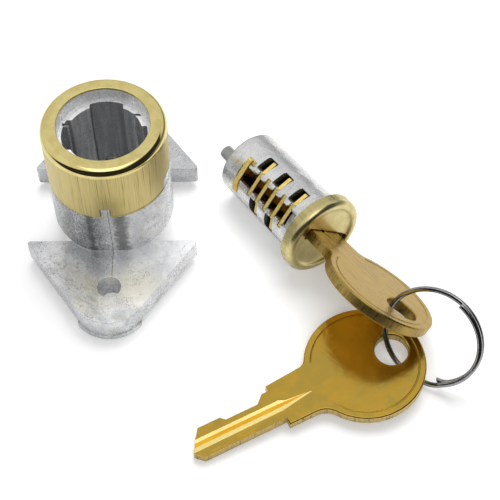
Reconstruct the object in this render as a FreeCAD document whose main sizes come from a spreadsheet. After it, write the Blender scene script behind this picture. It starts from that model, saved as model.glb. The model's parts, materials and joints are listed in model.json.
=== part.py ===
"""A drawer lock taken apart: housing, plug with its wafers, and two keys on a split ring.

The housing stands on the z = 0 plane with its barrel along +Z and its two screw ears along
Y. The plug lies on its side to the right of it with one key in place, and the second key
lies in front, held to the first one by the split ring. All sizes are in millimetres.
"""
import FreeCAD
import Part
import math
import operator
import os

import Sketcher
from FreeCAD import Placement, Rotation, Vector

SIZES = [
    # Housing casting
    ("foot_height", 1.29, "underside of the ears above the ground"),
    ("flange_thickness", 4.13, "thickness of the ears"),
    ("ear_half_width", 16.1, "half the width of an ear at its inner edge"),
    ("ear_inner", 8.47, "inner edge of an ear, from the barrel's axis"),
    ("ear_corner_round", 0.5, "rounding of an ear's inner corners"),
    ("tip_centre", 19.3, "centre of an ear's round tip"),
    ("tip_radius", 6.97, "radius of an ear's round tip"),
    ("screw_spacing", 37.33, "distance between the two screw holes"),
    ("screw_hole_radius", 2.14, "radius of a screw hole"),
    ("foot_radius", 7.2, "radius of the foot under an ear's round tip"),
    ("foot_half_width", 5.75, "half the width of the foot"),
    ("foot_length", 5.3, "length of the foot behind the middle of the ear's tip"),
    ("base_half_width", 6.7, "half the width of the block that holds the bolt"),
    ("web_thickness", 1.25, "floor of the bore above the bolt"),
    ("floor_radius", 9.0, "round floor of the bore, under the barrel"),
    ("barrel_radius", 11.1, "barrel where the trim cap ends"),
    ("barrel_foot_radius", 11.25, "barrel where it meets the ears"),
    ("facet_distance", 10.72, "flat on the barrel's front and back, from the axis"),
    ("seat_depth", 2.3, "depth of the counterbore for the plug's head"),
    ("slot_depth", 0.9, "depth of the wafer slots in the bore's wall"),
    ("slot_half_width", 2.95, "half the width of the front and back wafer slots"),
    ("side_slot_front", 3.5, "front end of the side slots, from the axis"),
    ("side_slot_back", 1.75, "back end of the side slots, from the axis"),
    ("groove_start", 1.95, "start of the narrow groove beside the left slot"),
    ("groove_width", 1.2, "width of the narrow groove beside the left slot"),
    ("scratch_place", 4.4, "narrow line in the right wall of the bore"),
    ("scratch_half_width", 0.22, "half the width of that line"),
    ("catch_radius", 1.6, "recess in which the retaining wafer snaps"),
    ("catch_depth", 1.5, "depth of that recess behind the slot"),
    # Trim cap
    ("cap_radius", 11.1, "outside radius of the trim cap"),
    ("cap_wall", 0.42, "sheet thickness of the trim cap"),
    ("cap_fit", 0.03, "clearance between the cap and the casting"),
    ("cap_height", 12.68, "height of the trim cap"),
    ("cap_roll", 1.3, "rolled outer edge of the trim cap"),
    ("notch_height", 2.4, "height of the cap's notches"),
    ("front_notch_half_width", 0.95, "half the width of the front notch"),
    ("side_notch_half_angle", 24.0, "half the angle of the side notch"),
    ("lug_gap", 0.12, "gap between a cast lug and its notch"),
    ("lug_rise", 0.3, "how far a lug stands out of the barrel's neck"),
    # Bolt and its cover
    ("bolt_thickness", 2.5, "thickness of the bolt"),
    ("bolt_half_width", 6.8, "half the width of the bolt"),
    ("bolt_inset", 0.2, "how far the ends of the drawn bolt lie inside its block"),
    ("bolt_gap", 0.08, "running clearance of the bolt on each side"),
    ("bolt_corner_round", 1.2, "rounding of the bolt's end corners"),
    ("cover_thickness", 0.9, "thickness of the cover under the bolt"),
    ("peg_radius", 0.55, "cast peg that holds the cover"),
    ("peg_margin", 1.1, "distance of a peg from the end of the cover"),
    ("peg_head", 0.2, "how much wider the spread head of a peg is"),
    ("peg_head_height", 0.25, "height of a peg's spread head"),
    ("peg_fit", 0.04, "clearance of a peg in the cover"),
    # Plug
    ("plug_radius", 6.45, "radius of the plug"),
    ("plug_length", 20.6, "length of the plug behind its head"),
    ("plug_clearance", 0.2, "radial clearance of the plug in its bore"),
    ("plug_end_gap", 0.2, "gap between the plug's end and the bore's floor"),
    ("pin_radius", 1.35, "eccentric pin that drives the bolt"),
    ("pin_offset", 4.8, "distance of the pin from the plug's axis"),
    ("pin_length", 2.5, "length of the pin"),
    ("pin_clearance", 0.2, "clearance of the pin in the bolt and the floor"),
    ("turn_half_angle", 45.0, "half of the plug's quarter turn"),
    ("face_radius", 8.08, "radius of the plug's face"),
    ("face_height", 3.2, "height of the head above its seat"),
    ("face_wall", 0.33, "sheet thickness of the face"),
    ("face_skirt_gap", 0.45, "gap between the face's skirt and the seat"),
    ("face_roll", 1.0, "rolled rim of the face"),
    ("face_dish", 0.8, "depth of the dished face"),
    ("face_slope", 0.5, "width of the slope into the dish"),
    ("face_fit", 0.05, "clearance between the face and the head"),
    ("face_clearance", 0.12, "clearance of the head in the counterbore"),
    # Wafers
    ("wafer_first", 8.1, "place of the first wafer along the plug"),
    ("wafer_pitch", 2.4, "distance from wafer to wafer"),
    ("wafer_thickness", 0.8, "thickness of a wafer"),
    ("wafer_half_width", 2.6, "half the width of a wafer"),
    ("wafer_gap", 0.05, "clearance of a wafer in its slot"),
    ("wafer_end_gap", 0.15, "how far a wafer's ends lie below the plug's surface"),
    ("wafer_throw", 0.8, "how far a wafer rises when the key leaves it"),
    ("window_margin", 0.25, "side clearance of the key in a wafer's window"),
    ("window_play", 0.15, "end clearance of the key in a wafer's window"),
    ("shallow_cut", 0.45, "how much shorter the window of a low cut is"),
    ("arm_reach", 4.9, "end of a wafer's spring arm, from the axis"),
    ("arm_low", 3.1, "underside of a wafer's spring arm"),
    ("arm_high", 4.0, "upper side of a wafer's spring arm"),
    ("slit_half_width", 1.5, "half the width of the open slit above the key"),
    ("slit_floor", 4.6, "depth of the slit below the axis"),
    ("slit_start", 5.0, "rear end of the slit"),
    ("slit_end", 19.0, "front end of the slit"),
    ("lobe_round", 0.45, "rounding of the lobes between the wafers"),
    ("chamber_reach", 5.2, "far wall of a spring chamber"),
    ("chamber_back", 1.7, "rear end of a chamber, from its wafer"),
    ("chamber_front", 0.7, "front end of a chamber, from its wafer"),
    ("chamber_floor", 1.0, "floor of a chamber below the axis"),
    ("spring_radius", 0.85, "outside radius of a wafer's spring"),
    ("spring_wire", 0.28, "wire of the springs"),
    ("spring_place", 0.5, "a spring's axis behind the middle of its wafer"),
    # Retaining wafer
    ("retainer_place", 4.4, "place of the retaining wafer along the plug"),
    ("retainer_thickness", 1.1, "thickness of the retaining wafer"),
    ("retainer_side", 3.0, "plain side of the retaining wafer, from the axis"),
    ("retainer_body", 2.1, "side of its body on the arm's side, from the axis"),
    ("retainer_arm", 4.2, "end of the retaining wafer's spring arm"),
    ("retainer_arm_low", 2.6, "underside of that arm"),
    ("retainer_rise", 0.45, "how far its round corners stand out of the plug"),
    ("retainer_flat", 6.35, "flat top of the retaining wafer, from the axis"),
    ("retainer_floor", 3.2, "depth of its slot below the axis"),
    ("retainer_throw", 0.9, "how far it can be pressed in"),
    ("retainer_tab", 0.85, "length of its bent tab along the plug"),
    ("retainer_tab_thickness", 0.8, "thickness of the bent tab"),
    ("retainer_spring_radius", 0.5, "outside radius of its spring"),
    # Keys
    ("key_thickness", 2.0, "thickness of a key"),
    ("key_side_gap", 0.1, "side clearance of the key in its way"),
    ("key_end_gap", 0.3, "clearance above and below the blade in its way"),
    ("bow_radius", 10.8, "radius of a key's bow"),
    ("bow_hole_radius", 3.0, "hole for the ring"),
    ("bow_hole_place", 5.4, "distance of the hole from the bow's middle"),
    ("rim_line_inset", 1.15, "inset of the line that runs round the bow"),
    ("rim_line_width", 0.22, "width of that line"),
    ("rim_line_depth", 0.12, "depth of that line"),
    ("key_edge_break", 0.18, "chamfer on a key's edges"),
    ("key_tip_gap", 0.2, "gap between the blade's end and the end of its way"),
    ("key_tip_bevel", 2.6, "length of the slanted end of the blade"),
    ("key_back", 3.1, "back edge of the blade, from its middle line"),
    ("key_crown", 2.3, "uncut height of the blade, from its middle line"),
    ("key_cut", 1.5, "height of the blade at the long cut"),
    ("cut_margin", 0.1, "how far the long cut reaches past the middle of its first wafer"),
    ("cut_run_out", 1.2, "how far the long cut reaches past the middle of the last wafer"),
    ("cut_slope", 0.8, "length of the slope at the tip end of the cut"),
    ("heel_slope", 1.5, "length of the slope at the bow end of the cut"),
    ("key_heel", 2.93, "height of the blade at its heel"),
    ("key_shoulder", 17.65, "shoulder that stops the key, from the bow's middle"),
    ("shoulder_gap", 0.05, "gap under the shoulder"),
    ("shoulder_step", 0.5, "how much nearer the bow the back shoulder lies"),
    ("shank_back", 4.4, "back edge of the shank"),
    ("shank_front", 4.5, "cut side of the shank at the bow"),
    ("shank_narrow", 4.0, "cut side of the shank at the shoulder"),
    ("bow_fillet_back", 3.5, "fillet between the shank and the bow, back"),
    ("bow_fillet_front", 2.0, "fillet between the shank and the bow, cut side"),
    ("key_groove_place", 0.53, "middle of the blade's groove"),
    ("key_groove_half_width", 0.75, "half the width of the groove"),
    ("key_groove_depth", 0.7, "depth of the groove"),
    ("key_groove_end", 11.2, "end of the groove, from the bow's middle"),
    ("ward_play", 0.15, "clearance of the ward in the key's groove"),
    ("recess_back", 4.6, "end of the key's slot in the face, on the back edge's side"),
    ("recess_front", 6.4, "end of the key's slot in the face, on the cut side"),
    ("recess_depth", 2.2, "depth of the key's slot in the head"),
    ("recess_side_gap", 0.15, "side clearance of the key in that slot"),
    # Split ring
    ("ring_radius", 8.9, "middle radius of the ring"),
    ("ring_wire", 0.8, "diameter of the ring's wire"),
    ("ring_turn_gap", 0.43, "gap between the ring's two turns"),
    ("ring_overlap", 150.0, "angle over which the two turns lie side by side"),
    ("ring_start", -30.0, "angle at which the wire starts"),
    # Places on the ground
    ("plug_x", 25.757, "rear end of the plug"),
    ("plug_y", 9.293, "rear end of the plug"),
    ("plug_azimuth", -55.26, "direction of the plug's face"),
    ("plug_roll", 48.0, "turn of the plug about its axis"),
    ("key_2_azimuth", 25.96, "direction from the second key's tip to its bow"),
    ("key_2_tilt", 2.5, "rise of the second key towards its bow"),
    ("ring_from_hole_x", 5.557, "middle of the ring, from the middle of the first key's hole"),
    ("ring_from_hole_y", -4.091, "middle of the ring, from the middle of the first key's hole"),
    ("ring_ground_gap", 0.39, "gap under the wire's lowest point"),
    ("ring_lean", 62.5, "lean of the ring's axis from the vertical"),
    ("ring_azimuth", -126.67, "direction of the ring's axis"),
    ("key_2_from_ring_x", -11.232, "middle of the second key's bow, from the middle of the ring"),
    ("key_2_from_ring_y", -2.012, "middle of the second key's bow, from the middle of the ring"),
]

WAFER_SIDES = (1, -1, 1, -1, 1)
SHALLOW_WAFERS = (2, 3, 4)
WIRE_SIDES = 10
ROLL_FLATS = 3
DEGREES = 180 / math.pi
PLANE_SIGN = {"XY_Plane": 1, "XZ_Plane": -1, "YZ_Plane": 1}
OPERATIONS = {
    "+": operator.add,
    "-": operator.sub,
    "*": operator.mul,
    "/": operator.truediv,
}


class Size:
    """A number beside the sheet formula that gives it, so that each is written once."""

    def __init__(self, value, text=None):
        self.value = float(value)
        self.text = text or "(%.10g)" % value

    def joined(self, sign, other):
        other = as_size(other)
        value = OPERATIONS[sign](self.value, other.value)
        return Size(value, "(%s %s %s)" % (self.text, sign, other.text))

    def __add__(self, other):
        return self.joined("+", other)

    def __radd__(self, other):
        return as_size(other).joined("+", self)

    def __sub__(self, other):
        return self.joined("-", other)

    def __rsub__(self, other):
        return as_size(other).joined("-", self)

    def __mul__(self, other):
        return self.joined("*", other)

    def __rmul__(self, other):
        return as_size(other).joined("*", self)

    def __truediv__(self, other):
        return self.joined("/", other)

    def __neg__(self):
        return Size(0).joined("-", self)


def as_size(number):
    """A plain number as a Size; a Size stays as it is."""
    return number if isinstance(number, Size) else Size(number)


def root(size):
    """Square root of a size."""
    return Size(math.sqrt(size.value), "sqrt(%s)" % size.text)


def sine(size):
    """Sine of an angle in degrees."""
    return Size(math.sin(math.radians(size.value)), "sin(%s)" % size.text)


def cosine(size):
    """Cosine of an angle in degrees."""
    return Size(math.cos(math.radians(size.value)), "cos(%s)" % size.text)


def leg(hypotenuse, other_leg):
    """The second leg of a right-angled triangle."""
    return root(hypotenuse * hypotenuse - other_leg * other_leg)


class Sheet:
    """The spreadsheet of driving sizes; each size is read as an attribute."""

    def __init__(self, doc, rows):
        self.sheet = doc.addObject("Spreadsheet::Sheet", "Sizes")
        for number, (alias, value, meaning) in enumerate(rows, start=1):
            self.sheet.set("A%d" % number, repr(value))
            self.sheet.setAlias("A%d" % number, alias)
            self.sheet.set("B%d" % number, meaning)
        doc.recompute()

    def __getattr__(self, alias):
        return Size(self.sheet.get(alias), "Sizes.%s" % alias)


class Levels:
    """Heights and radii that follow from the driving sizes."""

    def __init__(self, d):
        # Housing, from the ground up
        self.flange_top = d.foot_height + d.flange_thickness
        self.web_bottom = d.foot_height + d.bolt_thickness + 2 * d.bolt_gap
        self.bore_floor = self.web_bottom + d.web_thickness
        self.plug_foot = self.bore_floor + d.plug_end_gap
        self.seat = self.plug_foot + d.plug_length
        self.casting_top = self.seat + d.seat_depth
        self.cap_top = self.casting_top + d.cap_fit + d.cap_wall
        self.cap_bottom = self.cap_top - d.cap_height
        self.neck_radius = d.cap_radius - d.cap_wall - d.cap_fit
        self.bore_radius = d.plug_radius + d.plug_clearance
        self.slot_radius = self.bore_radius + d.slot_depth
        self.counterbore = d.face_radius + d.face_clearance
        # Plug, from its rear end
        self.face_front = d.plug_length + d.face_height
        self.head_front = self.face_front - d.face_dish - d.face_wall - d.face_fit
        self.head_radius = d.face_radius - d.face_wall - d.face_fit
        self.recess_floor = self.face_front - d.recess_depth
        self.keyway_end = d.retainer_place + d.retainer_thickness / 2 + d.wafer_gap
        self.bolt_throw = 2 * d.pin_offset * sine(d.turn_half_angle)
        # First key in the plug, and both keys' blades from the bow's middle
        self.bow_place = self.recess_floor + d.shoulder_gap + d.key_shoulder
        self.key_tip = self.bow_place - self.keyway_end - d.key_tip_gap
        self.key_nose = self.key_tip - d.key_tip_bevel
        self.cut_end = self.bow_place - wafer_place(d, SHALLOW_WAFERS[0]) + d.cut_margin
        self.cut_start = self.bow_place - wafer_place(d, SHALLOW_WAFERS[-1]) - d.cut_run_out


def line_to(x, y):
    """A straight step of a loop, to the point x, y."""
    return ("line", as_size(x), as_size(y))


def arc_to(x, y, centre_x, centre_y, left=True):
    """A step of a loop along an arc to x, y; left arcs turn anticlockwise."""
    return ("left" if left else "right", as_size(x), as_size(y), as_size(centre_x), as_size(centre_y))


def ring_at(x, y, radius):
    """A loop that is one full circle."""
    return [("circle", as_size(x), as_size(y), as_size(radius))]


def box_loop(x_low, y_low, x_high, y_high):
    """A loop that is a rectangle."""
    return [line_to(x_high, y_low), line_to(x_high, y_high), line_to(x_low, y_high), line_to(x_low, y_low)]


def roll_steps(centre_x, centre_z, radius):
    """The rolled edge of a sheet piece, in short flats from its side up to its top."""
    angles = [90 * Size(flat) / ROLL_FLATS for flat in range(1, ROLL_FLATS + 1)]
    return [line_to(centre_x + radius * cosine(angle), centre_z + radius * sine(angle)) for angle in angles]


def sector_loop(inner, outer, half_angle):
    """A loop round part of a ring, either side of the X axis."""
    across = sine(half_angle)
    along = cosine(half_angle)
    return [
        line_to(outer * along, -outer * across),
        arc_to(outer * along, outer * across, 0, 0),
        line_to(inner * along, inner * across),
        arc_to(inner * along, -inner * across, 0, 0, left=False),
    ]


def fix(sketch, kind, geometry, point, size):
    """Fix one coordinate of a point of the sketch, and bind it to the sheet."""
    number = sketch.addConstraint(Sketcher.Constraint(kind, -1, 1, geometry, point, size.value))
    bind_constraint(sketch, number, size)


def bind_constraint(sketch, number, size):
    """Bind a numbered constraint to a size, if the size comes from the sheet."""
    if "Sizes." in size.text:
        sketch.setExpression("Constraints[%d]" % number, size.text)


def draw_circle(sketch, step):
    """Draw a full circle, fixed by its middle and its radius."""
    kind, x, y, radius = step
    circle = Part.Circle(Vector(x.value, y.value, 0), Vector(0, 0, 1), radius.value)
    geometry = sketch.addGeometry(circle, False)
    fix(sketch, "DistanceX", geometry, 3, x)
    fix(sketch, "DistanceY", geometry, 3, y)
    number = sketch.addConstraint(Sketcher.Constraint("Radius", geometry, radius.value))
    bind_constraint(sketch, number, radius)


def step_geometry(start, step):
    """The line or arc of one step that begins where the step before it ends."""
    begin = Vector(start[1].value, start[2].value, 0)
    end = Vector(step[1].value, step[2].value, 0)
    if step[0] == "line":
        return Part.LineSegment(begin, end)
    centre = Vector(step[3].value, step[4].value, 0)
    if step[0] == "right":
        begin, end = end, begin
    first = math.atan2(begin.y - centre.y, begin.x - centre.x)
    last = math.atan2(end.y - centre.y, end.x - centre.x)
    if last <= first:
        last += 2 * math.pi
    circle = Part.Circle(centre, Vector(0, 0, 1), begin.distanceToPoint(centre))
    return Part.ArcOfCircle(circle, first, last)


def fix_arc_centre(sketch, geometry, start, step):
    """Fix an arc's middle along the line that lies square to its chord."""
    run = abs(step[1].value - start[1].value)
    rise = abs(step[2].value - start[2].value)
    if run > rise:
        fix(sketch, "DistanceY", geometry, 3, step[4])
    else:
        fix(sketch, "DistanceX", geometry, 3, step[3])


def draw_loop(sketch, loop):
    """Draw a closed loop, with each corner fixed by two sizes of the sheet."""
    if loop[0][0] == "circle":
        draw_circle(sketch, loop[0])
        return
    ends = []
    for number, step in enumerate(loop):
        start = loop[number - 1]
        geometry = sketch.addGeometry(step_geometry(start, step), False)
        ends.append((geometry, 2 if step[0] == "right" else 1, 1 if step[0] == "right" else 2))
    for number, step in enumerate(loop):
        start = loop[number - 1]
        geometry, begin_point, end_point = ends[number]
        before, _, before_end = ends[number - 1]
        sketch.addConstraint(Sketcher.Constraint("Coincident", before, before_end, geometry, begin_point))
        fix(sketch, "DistanceX", geometry, begin_point, start[1])
        fix(sketch, "DistanceY", geometry, begin_point, start[2])
        if step[0] != "line":
            fix_arc_centre(sketch, geometry, start, step)


class Piece:
    """One separate piece of the lock: a body with its sketches and features."""

    def __init__(self, doc, name):
        self.doc = doc
        self.name = name
        self.body = doc.addObject("PartDesign::Body", name)
        self.body.Label = name
        self.features = 0

    def origin(self, role):
        """The body's own plane or axis with this role."""
        return next(part for part in self.body.Origin.OriginFeatures if part.Role == role)

    def label(self, kind, meaning):
        """A readable name for a feature of this piece."""
        self.features += 1
        return "%s_%s_%s" % (self.name, meaning, kind)

    def sketch(self, plane, place, loops, meaning):
        """A sketch of closed loops on one of the body's planes, moved along its normal."""
        sketch = self.body.newObject("Sketcher::SketchObject", self.label("sketch", meaning))
        sketch.AttachmentSupport = [(self.origin(plane), "")]
        sketch.MapMode = "FlatFace"
        offset = PLANE_SIGN[plane] * place
        sketch.AttachmentOffset = Placement(Vector(0, 0, offset.value), Rotation())
        if "Sizes." in offset.text:
            sketch.setExpression("AttachmentOffset.Base.z", offset.text)
        for loop in loops:
            draw_loop(sketch, loop)
        return sketch

    def extrude(self, kind, meaning, plane, loops, low, high):
        """Add (Pad) or cut (Pocket) the loops between two places along the plane's axis."""
        low = as_size(low)
        high = as_size(high)
        towards_high = (kind == "Pad") == (PLANE_SIGN[plane] == 1)
        sketch = self.sketch(plane, low if towards_high else high, loops, meaning)
        feature = self.body.newObject("PartDesign::" + kind, self.label(kind.lower(), meaning))
        feature.Profile = sketch
        length = high - low
        feature.Length = length.value
        if "Sizes." in length.text:
            feature.setExpression("Length", length.text)
        self.doc.recompute()
        return feature

    def add(self, meaning, plane, loops, low, high):
        return self.extrude("Pad", meaning, plane, loops, low, high)

    def cut(self, meaning, plane, loops, low, high):
        return self.extrude("Pocket", meaning, plane, loops, low, high)

    def turn(self, meaning, loop, kind="Revolution"):
        """Add (Revolution) or cut (Groove) a loop of radii and heights turned about Z."""
        sketch = self.sketch("XZ_Plane", Size(0), [loop], meaning)
        feature = self.body.newObject("PartDesign::" + kind, self.label(kind.lower(), meaning))
        feature.Profile = sketch
        feature.ReferenceAxis = (sketch, ["V_Axis"])
        feature.Angle = 360
        self.doc.recompute()
        return feature

    def repeat(self, feature, meaning, pitch, copies):
        """Repeat a feature along the piece's Z axis."""
        pattern = self.body.newObject("PartDesign::LinearPattern", self.label("pattern", meaning))
        pattern.Originals = [feature]
        pattern.Direction = (self.origin("Z_Axis"), [""])
        length = pitch * (copies - 1)
        pattern.Length = length.value
        pattern.setExpression("Length", length.text)
        pattern.Occurrences = copies
        self.body.Tip = pattern
        self.doc.recompute()
        return pattern

    def soften(self, kind, meaning, size, wanted):
        """Round (Fillet) or break (Chamfer) the edges for which the test holds."""
        base = self.body.Tip
        names = []
        for number, edge in enumerate(base.Shape.Edges, start=1):
            middle = edge.valueAt((edge.FirstParameter + edge.LastParameter) / 2)
            if wanted(edge, middle):
                names.append("Edge%d" % number)
        feature = self.body.newObject("PartDesign::" + kind, self.label(kind.lower(), meaning))
        feature.Base = (base, names)
        prop = "Radius" if kind == "Fillet" else "Size"
        setattr(feature, prop, size.value)
        feature.setExpression(prop, size.text)
        self.doc.recompute()
        return feature


def is_upright(edge):
    """Whether an edge is a straight line along the piece's Z axis."""
    if edge.Curve.TypeId != "Part::GeomLine":
        return False
    return abs(edge.tangentAt(edge.FirstParameter).z) > 0.999


def near(a, b):
    return abs(a - b) < 1e-3


def flange_loop(d):
    """Both ears and the block between them, seen from above."""
    gap = d.tip_centre - d.ear_inner
    reach = d.ear_half_width * d.ear_half_width + gap * gap
    tangent = root(reach - d.tip_radius * d.tip_radius)
    touch_x = (d.tip_radius * d.tip_radius * d.ear_half_width + d.tip_radius * tangent * gap) / reach
    touch_y = d.tip_centre + (d.tip_radius * tangent * d.ear_half_width
                              - d.tip_radius * d.tip_radius * gap) / reach
    return [
        line_to(d.base_half_width, -d.ear_inner),
        line_to(d.base_half_width, d.ear_inner),
        line_to(d.ear_half_width, d.ear_inner),
        line_to(touch_x, touch_y),
        arc_to(-touch_x, touch_y, 0, d.tip_centre),
        line_to(-d.ear_half_width, d.ear_inner),
        line_to(-d.base_half_width, d.ear_inner),
        line_to(-d.base_half_width, -d.ear_inner),
        line_to(-d.ear_half_width, -d.ear_inner),
        line_to(-touch_x, -touch_y),
        arc_to(touch_x, -touch_y, 0, -d.tip_centre),
        line_to(d.ear_half_width, -d.ear_inner),
    ]


def foot_loop(d, side):
    """The foot under the front (-1) or back (1) ear, round like the ear's tip."""
    half = d.foot_half_width
    back = side * (d.tip_centre - d.foot_length)
    front = side * (d.tip_centre + leg(d.foot_radius, half))
    return [
        line_to(side * half, back),
        line_to(side * half, front),
        arc_to(-side * half, front, 0, side * d.tip_centre),
        line_to(-side * half, back),
    ]


def barrel_loop(d, at):
    """Half section of the solid barrel."""
    roll_start = at.cap_top - d.cap_roll
    return [
        line_to(0, at.web_bottom),
        line_to(d.floor_radius, at.web_bottom),
        line_to(d.floor_radius, at.flange_top),
        line_to(d.barrel_foot_radius, at.flange_top),
        line_to(d.barrel_radius, at.cap_bottom),
        line_to(at.neck_radius, at.cap_bottom),
        line_to(at.neck_radius, roll_start),
        line_to(d.cap_radius - d.cap_roll, at.casting_top),
        line_to(0, at.casting_top),
    ]


def bore_loop(d, at):
    """Half section of the bore and its counterbore."""
    above = at.casting_top + d.cap_roll
    return [
        line_to(0, at.bore_floor),
        line_to(at.bore_radius, at.bore_floor),
        line_to(at.bore_radius, at.seat),
        line_to(at.counterbore, at.seat),
        line_to(at.counterbore, above),
        line_to(0, above),
    ]


def wall_slot_loop(d, at, side):
    """A wafer slot in the front (-1) or back (1) of the bore's wall."""
    start = side * (at.bore_radius / 2)
    far = side * leg(at.slot_radius, d.slot_half_width)
    return [
        line_to(side * d.slot_half_width, start),
        line_to(side * d.slot_half_width, far),
        arc_to(-side * d.slot_half_width, far, 0, 0),
        line_to(-side * d.slot_half_width, start),
    ]


def side_slot_loop(at, side, front, back):
    """A wafer slot in the left (-1) or right (1) of the bore's wall."""
    start = side * (at.bore_radius / 2)
    low, high = (front, back) if side > 0 else (back, front)
    return [
        line_to(start, low),
        line_to(side * leg(at.slot_radius, low), low),
        arc_to(side * leg(at.slot_radius, high), high, 0, 0),
        line_to(start, high),
    ]


def pin_path_loop(d):
    """The curved slot in the bore's floor through which the eccentric pin reaches."""
    half = d.pin_radius + d.pin_clearance
    along = sine(d.turn_half_angle)
    up = cosine(d.turn_half_angle)
    outer = d.pin_offset + half
    inner = d.pin_offset - half
    middle = d.pin_offset
    return [
        arc_to(-outer * along, outer * up, 0, 0),
        arc_to(-inner * along, inner * up, -middle * along, middle * up),
        arc_to(inner * along, inner * up, 0, 0, left=False),
        arc_to(outer * along, outer * up, middle * along, middle * up),
    ]


def peg_places(d):
    """Middles of the four pegs, in the walls beside the bolt."""
    across = (d.ear_inner + d.bolt_half_width + d.bolt_gap) / 2
    along = d.base_half_width - d.peg_margin
    return [(x * along, y * across) for x in (-1, 1) for y in (-1, 1)]


def build_housing(doc, d, at):
    """The casting: barrel, ears, block for the bolt and the slots of the bore."""
    piece = Piece(doc, "housing")
    piece.add("flange", "XY_Plane", [flange_loop(d)], d.foot_height, at.flange_top)
    piece.soften("Fillet", "ear_corners", d.ear_corner_round, lambda edge, middle: (
        is_upright(edge) and near(abs(middle.x), d.ear_half_width.value)))
    piece.add("feet", "XY_Plane", [foot_loop(d, side) for side in (-1, 1)], Size(0), d.foot_height)
    piece.turn("barrel", barrel_loop(d, at))
    piece.turn("bore", bore_loop(d, at), "Groove")
    add_casting_details(piece, d, at)
    cut_bolt_room(piece, d, at)
    holes = [ring_at(0, side * d.screw_spacing / 2, d.screw_hole_radius) for side in (-1, 1)]
    piece.cut("screw_holes", "XY_Plane", holes, -d.foot_height, at.flange_top + d.foot_height)
    return piece


def add_casting_details(piece, d, at):
    """Flats, lugs that key the trim cap, and the slots in the bore's wall."""
    half = d.barrel_radius / 2
    flat = [box_loop(-half, at.flange_top, half, at.cap_bottom)]
    beyond = d.barrel_foot_radius + d.slot_depth
    piece.cut("front_flat", "XZ_Plane", flat, -beyond, -d.facet_distance)
    piece.cut("back_flat", "XZ_Plane", flat, d.facet_distance, beyond)
    lug_top = at.cap_bottom + d.notch_height - d.lug_gap
    outer = at.neck_radius + d.lug_rise
    inner = at.neck_radius - d.slot_depth
    half = d.front_notch_half_width - d.lug_gap
    piece.add("front_lug", "XZ_Plane", [box_loop(-half, at.cap_bottom, half, lug_top)], -outer, -inner)
    angle = d.side_notch_half_angle - DEGREES * d.lug_gap / outer
    piece.add("side_lug", "XY_Plane", [sector_loop(inner, outer, angle)], at.cap_bottom, lug_top)
    slots = [
        wall_slot_loop(d, at, -1),
        wall_slot_loop(d, at, 1),
        side_slot_loop(at, -1, -d.side_slot_front, d.side_slot_back),
        side_slot_loop(at, -1, d.groove_start, d.groove_start + d.groove_width),
        side_slot_loop(at, 1, -d.side_slot_front, d.side_slot_back),
        side_slot_loop(at, 1, d.scratch_place - d.scratch_half_width,
                       d.scratch_place + d.scratch_half_width),
    ]
    piece.cut("slots", "XY_Plane", slots, at.bore_floor, at.seat)
    catch = [ring_at(0, at.plug_foot + d.retainer_place, d.catch_radius)]
    piece.cut("catch", "XZ_Plane", catch, at.bore_radius, at.slot_radius + d.catch_depth)


def cut_bolt_room(piece, d, at):
    """The bolt's channel, the pin's way into it and the pegs that hold its cover."""
    half = d.bolt_half_width + d.bolt_gap
    channel = [box_loop(-half, d.foot_height, half, at.web_bottom)]
    reach = d.base_half_width + d.foot_height
    piece.cut("channel", "YZ_Plane", channel, -reach, reach)
    piece.cut("pin_path", "XY_Plane", [pin_path_loop(d)], at.web_bottom, at.bore_floor)
    cover_bottom = d.foot_height - d.cover_thickness
    pegs = [ring_at(x, y, d.peg_radius) for x, y in peg_places(d)]
    piece.add("pegs", "XY_Plane", pegs, cover_bottom, d.foot_height)
    heads = [ring_at(x, y, d.peg_radius + d.peg_head) for x, y in peg_places(d)]
    piece.add("peg_heads", "XY_Plane", heads, cover_bottom - d.peg_head_height, cover_bottom)


def build_trim_cap(doc, d, at):
    """The thin cap over the barrel, notched where the casting's lugs key it."""
    piece = Piece(doc, "trim_cap")
    roll_x = d.cap_radius - d.cap_roll
    roll_z = at.cap_top - d.cap_roll
    inside = d.cap_radius - d.cap_wall
    under = at.cap_top - d.cap_wall
    piece.turn("shell", [
        line_to(d.cap_radius, at.cap_bottom),
        line_to(d.cap_radius, roll_z),
        *roll_steps(roll_x, roll_z, d.cap_roll),
        line_to(at.counterbore, at.cap_top),
        line_to(at.counterbore, under),
        line_to(roll_x, under),
        line_to(inside, roll_z),
        line_to(inside, at.cap_bottom),
    ])
    notch_top = at.cap_bottom + d.notch_height
    half = d.front_notch_half_width
    below = at.cap_bottom - d.cap_wall
    outside = d.cap_radius + d.cap_wall
    within = at.neck_radius - d.cap_wall
    piece.cut("front_notch", "XZ_Plane", [box_loop(-half, below, half, notch_top)], -outside, -within)
    side = [sector_loop(within, outside, d.side_notch_half_angle)]
    piece.cut("side_notch", "XY_Plane", side, below, notch_top)
    return piece


def build_bolt_cover(doc, d):
    """The plate under the bolt, held by the casting's four pegs."""
    piece = Piece(doc, "bolt_cover")
    plate = box_loop(-d.base_half_width, -d.ear_inner, d.base_half_width, d.ear_inner)
    holes = [ring_at(x, y, d.peg_radius + d.peg_fit) for x, y in peg_places(d)]
    piece.add("plate", "XY_Plane", [plate] + holes, d.foot_height - d.cover_thickness, d.foot_height)
    return piece


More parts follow.
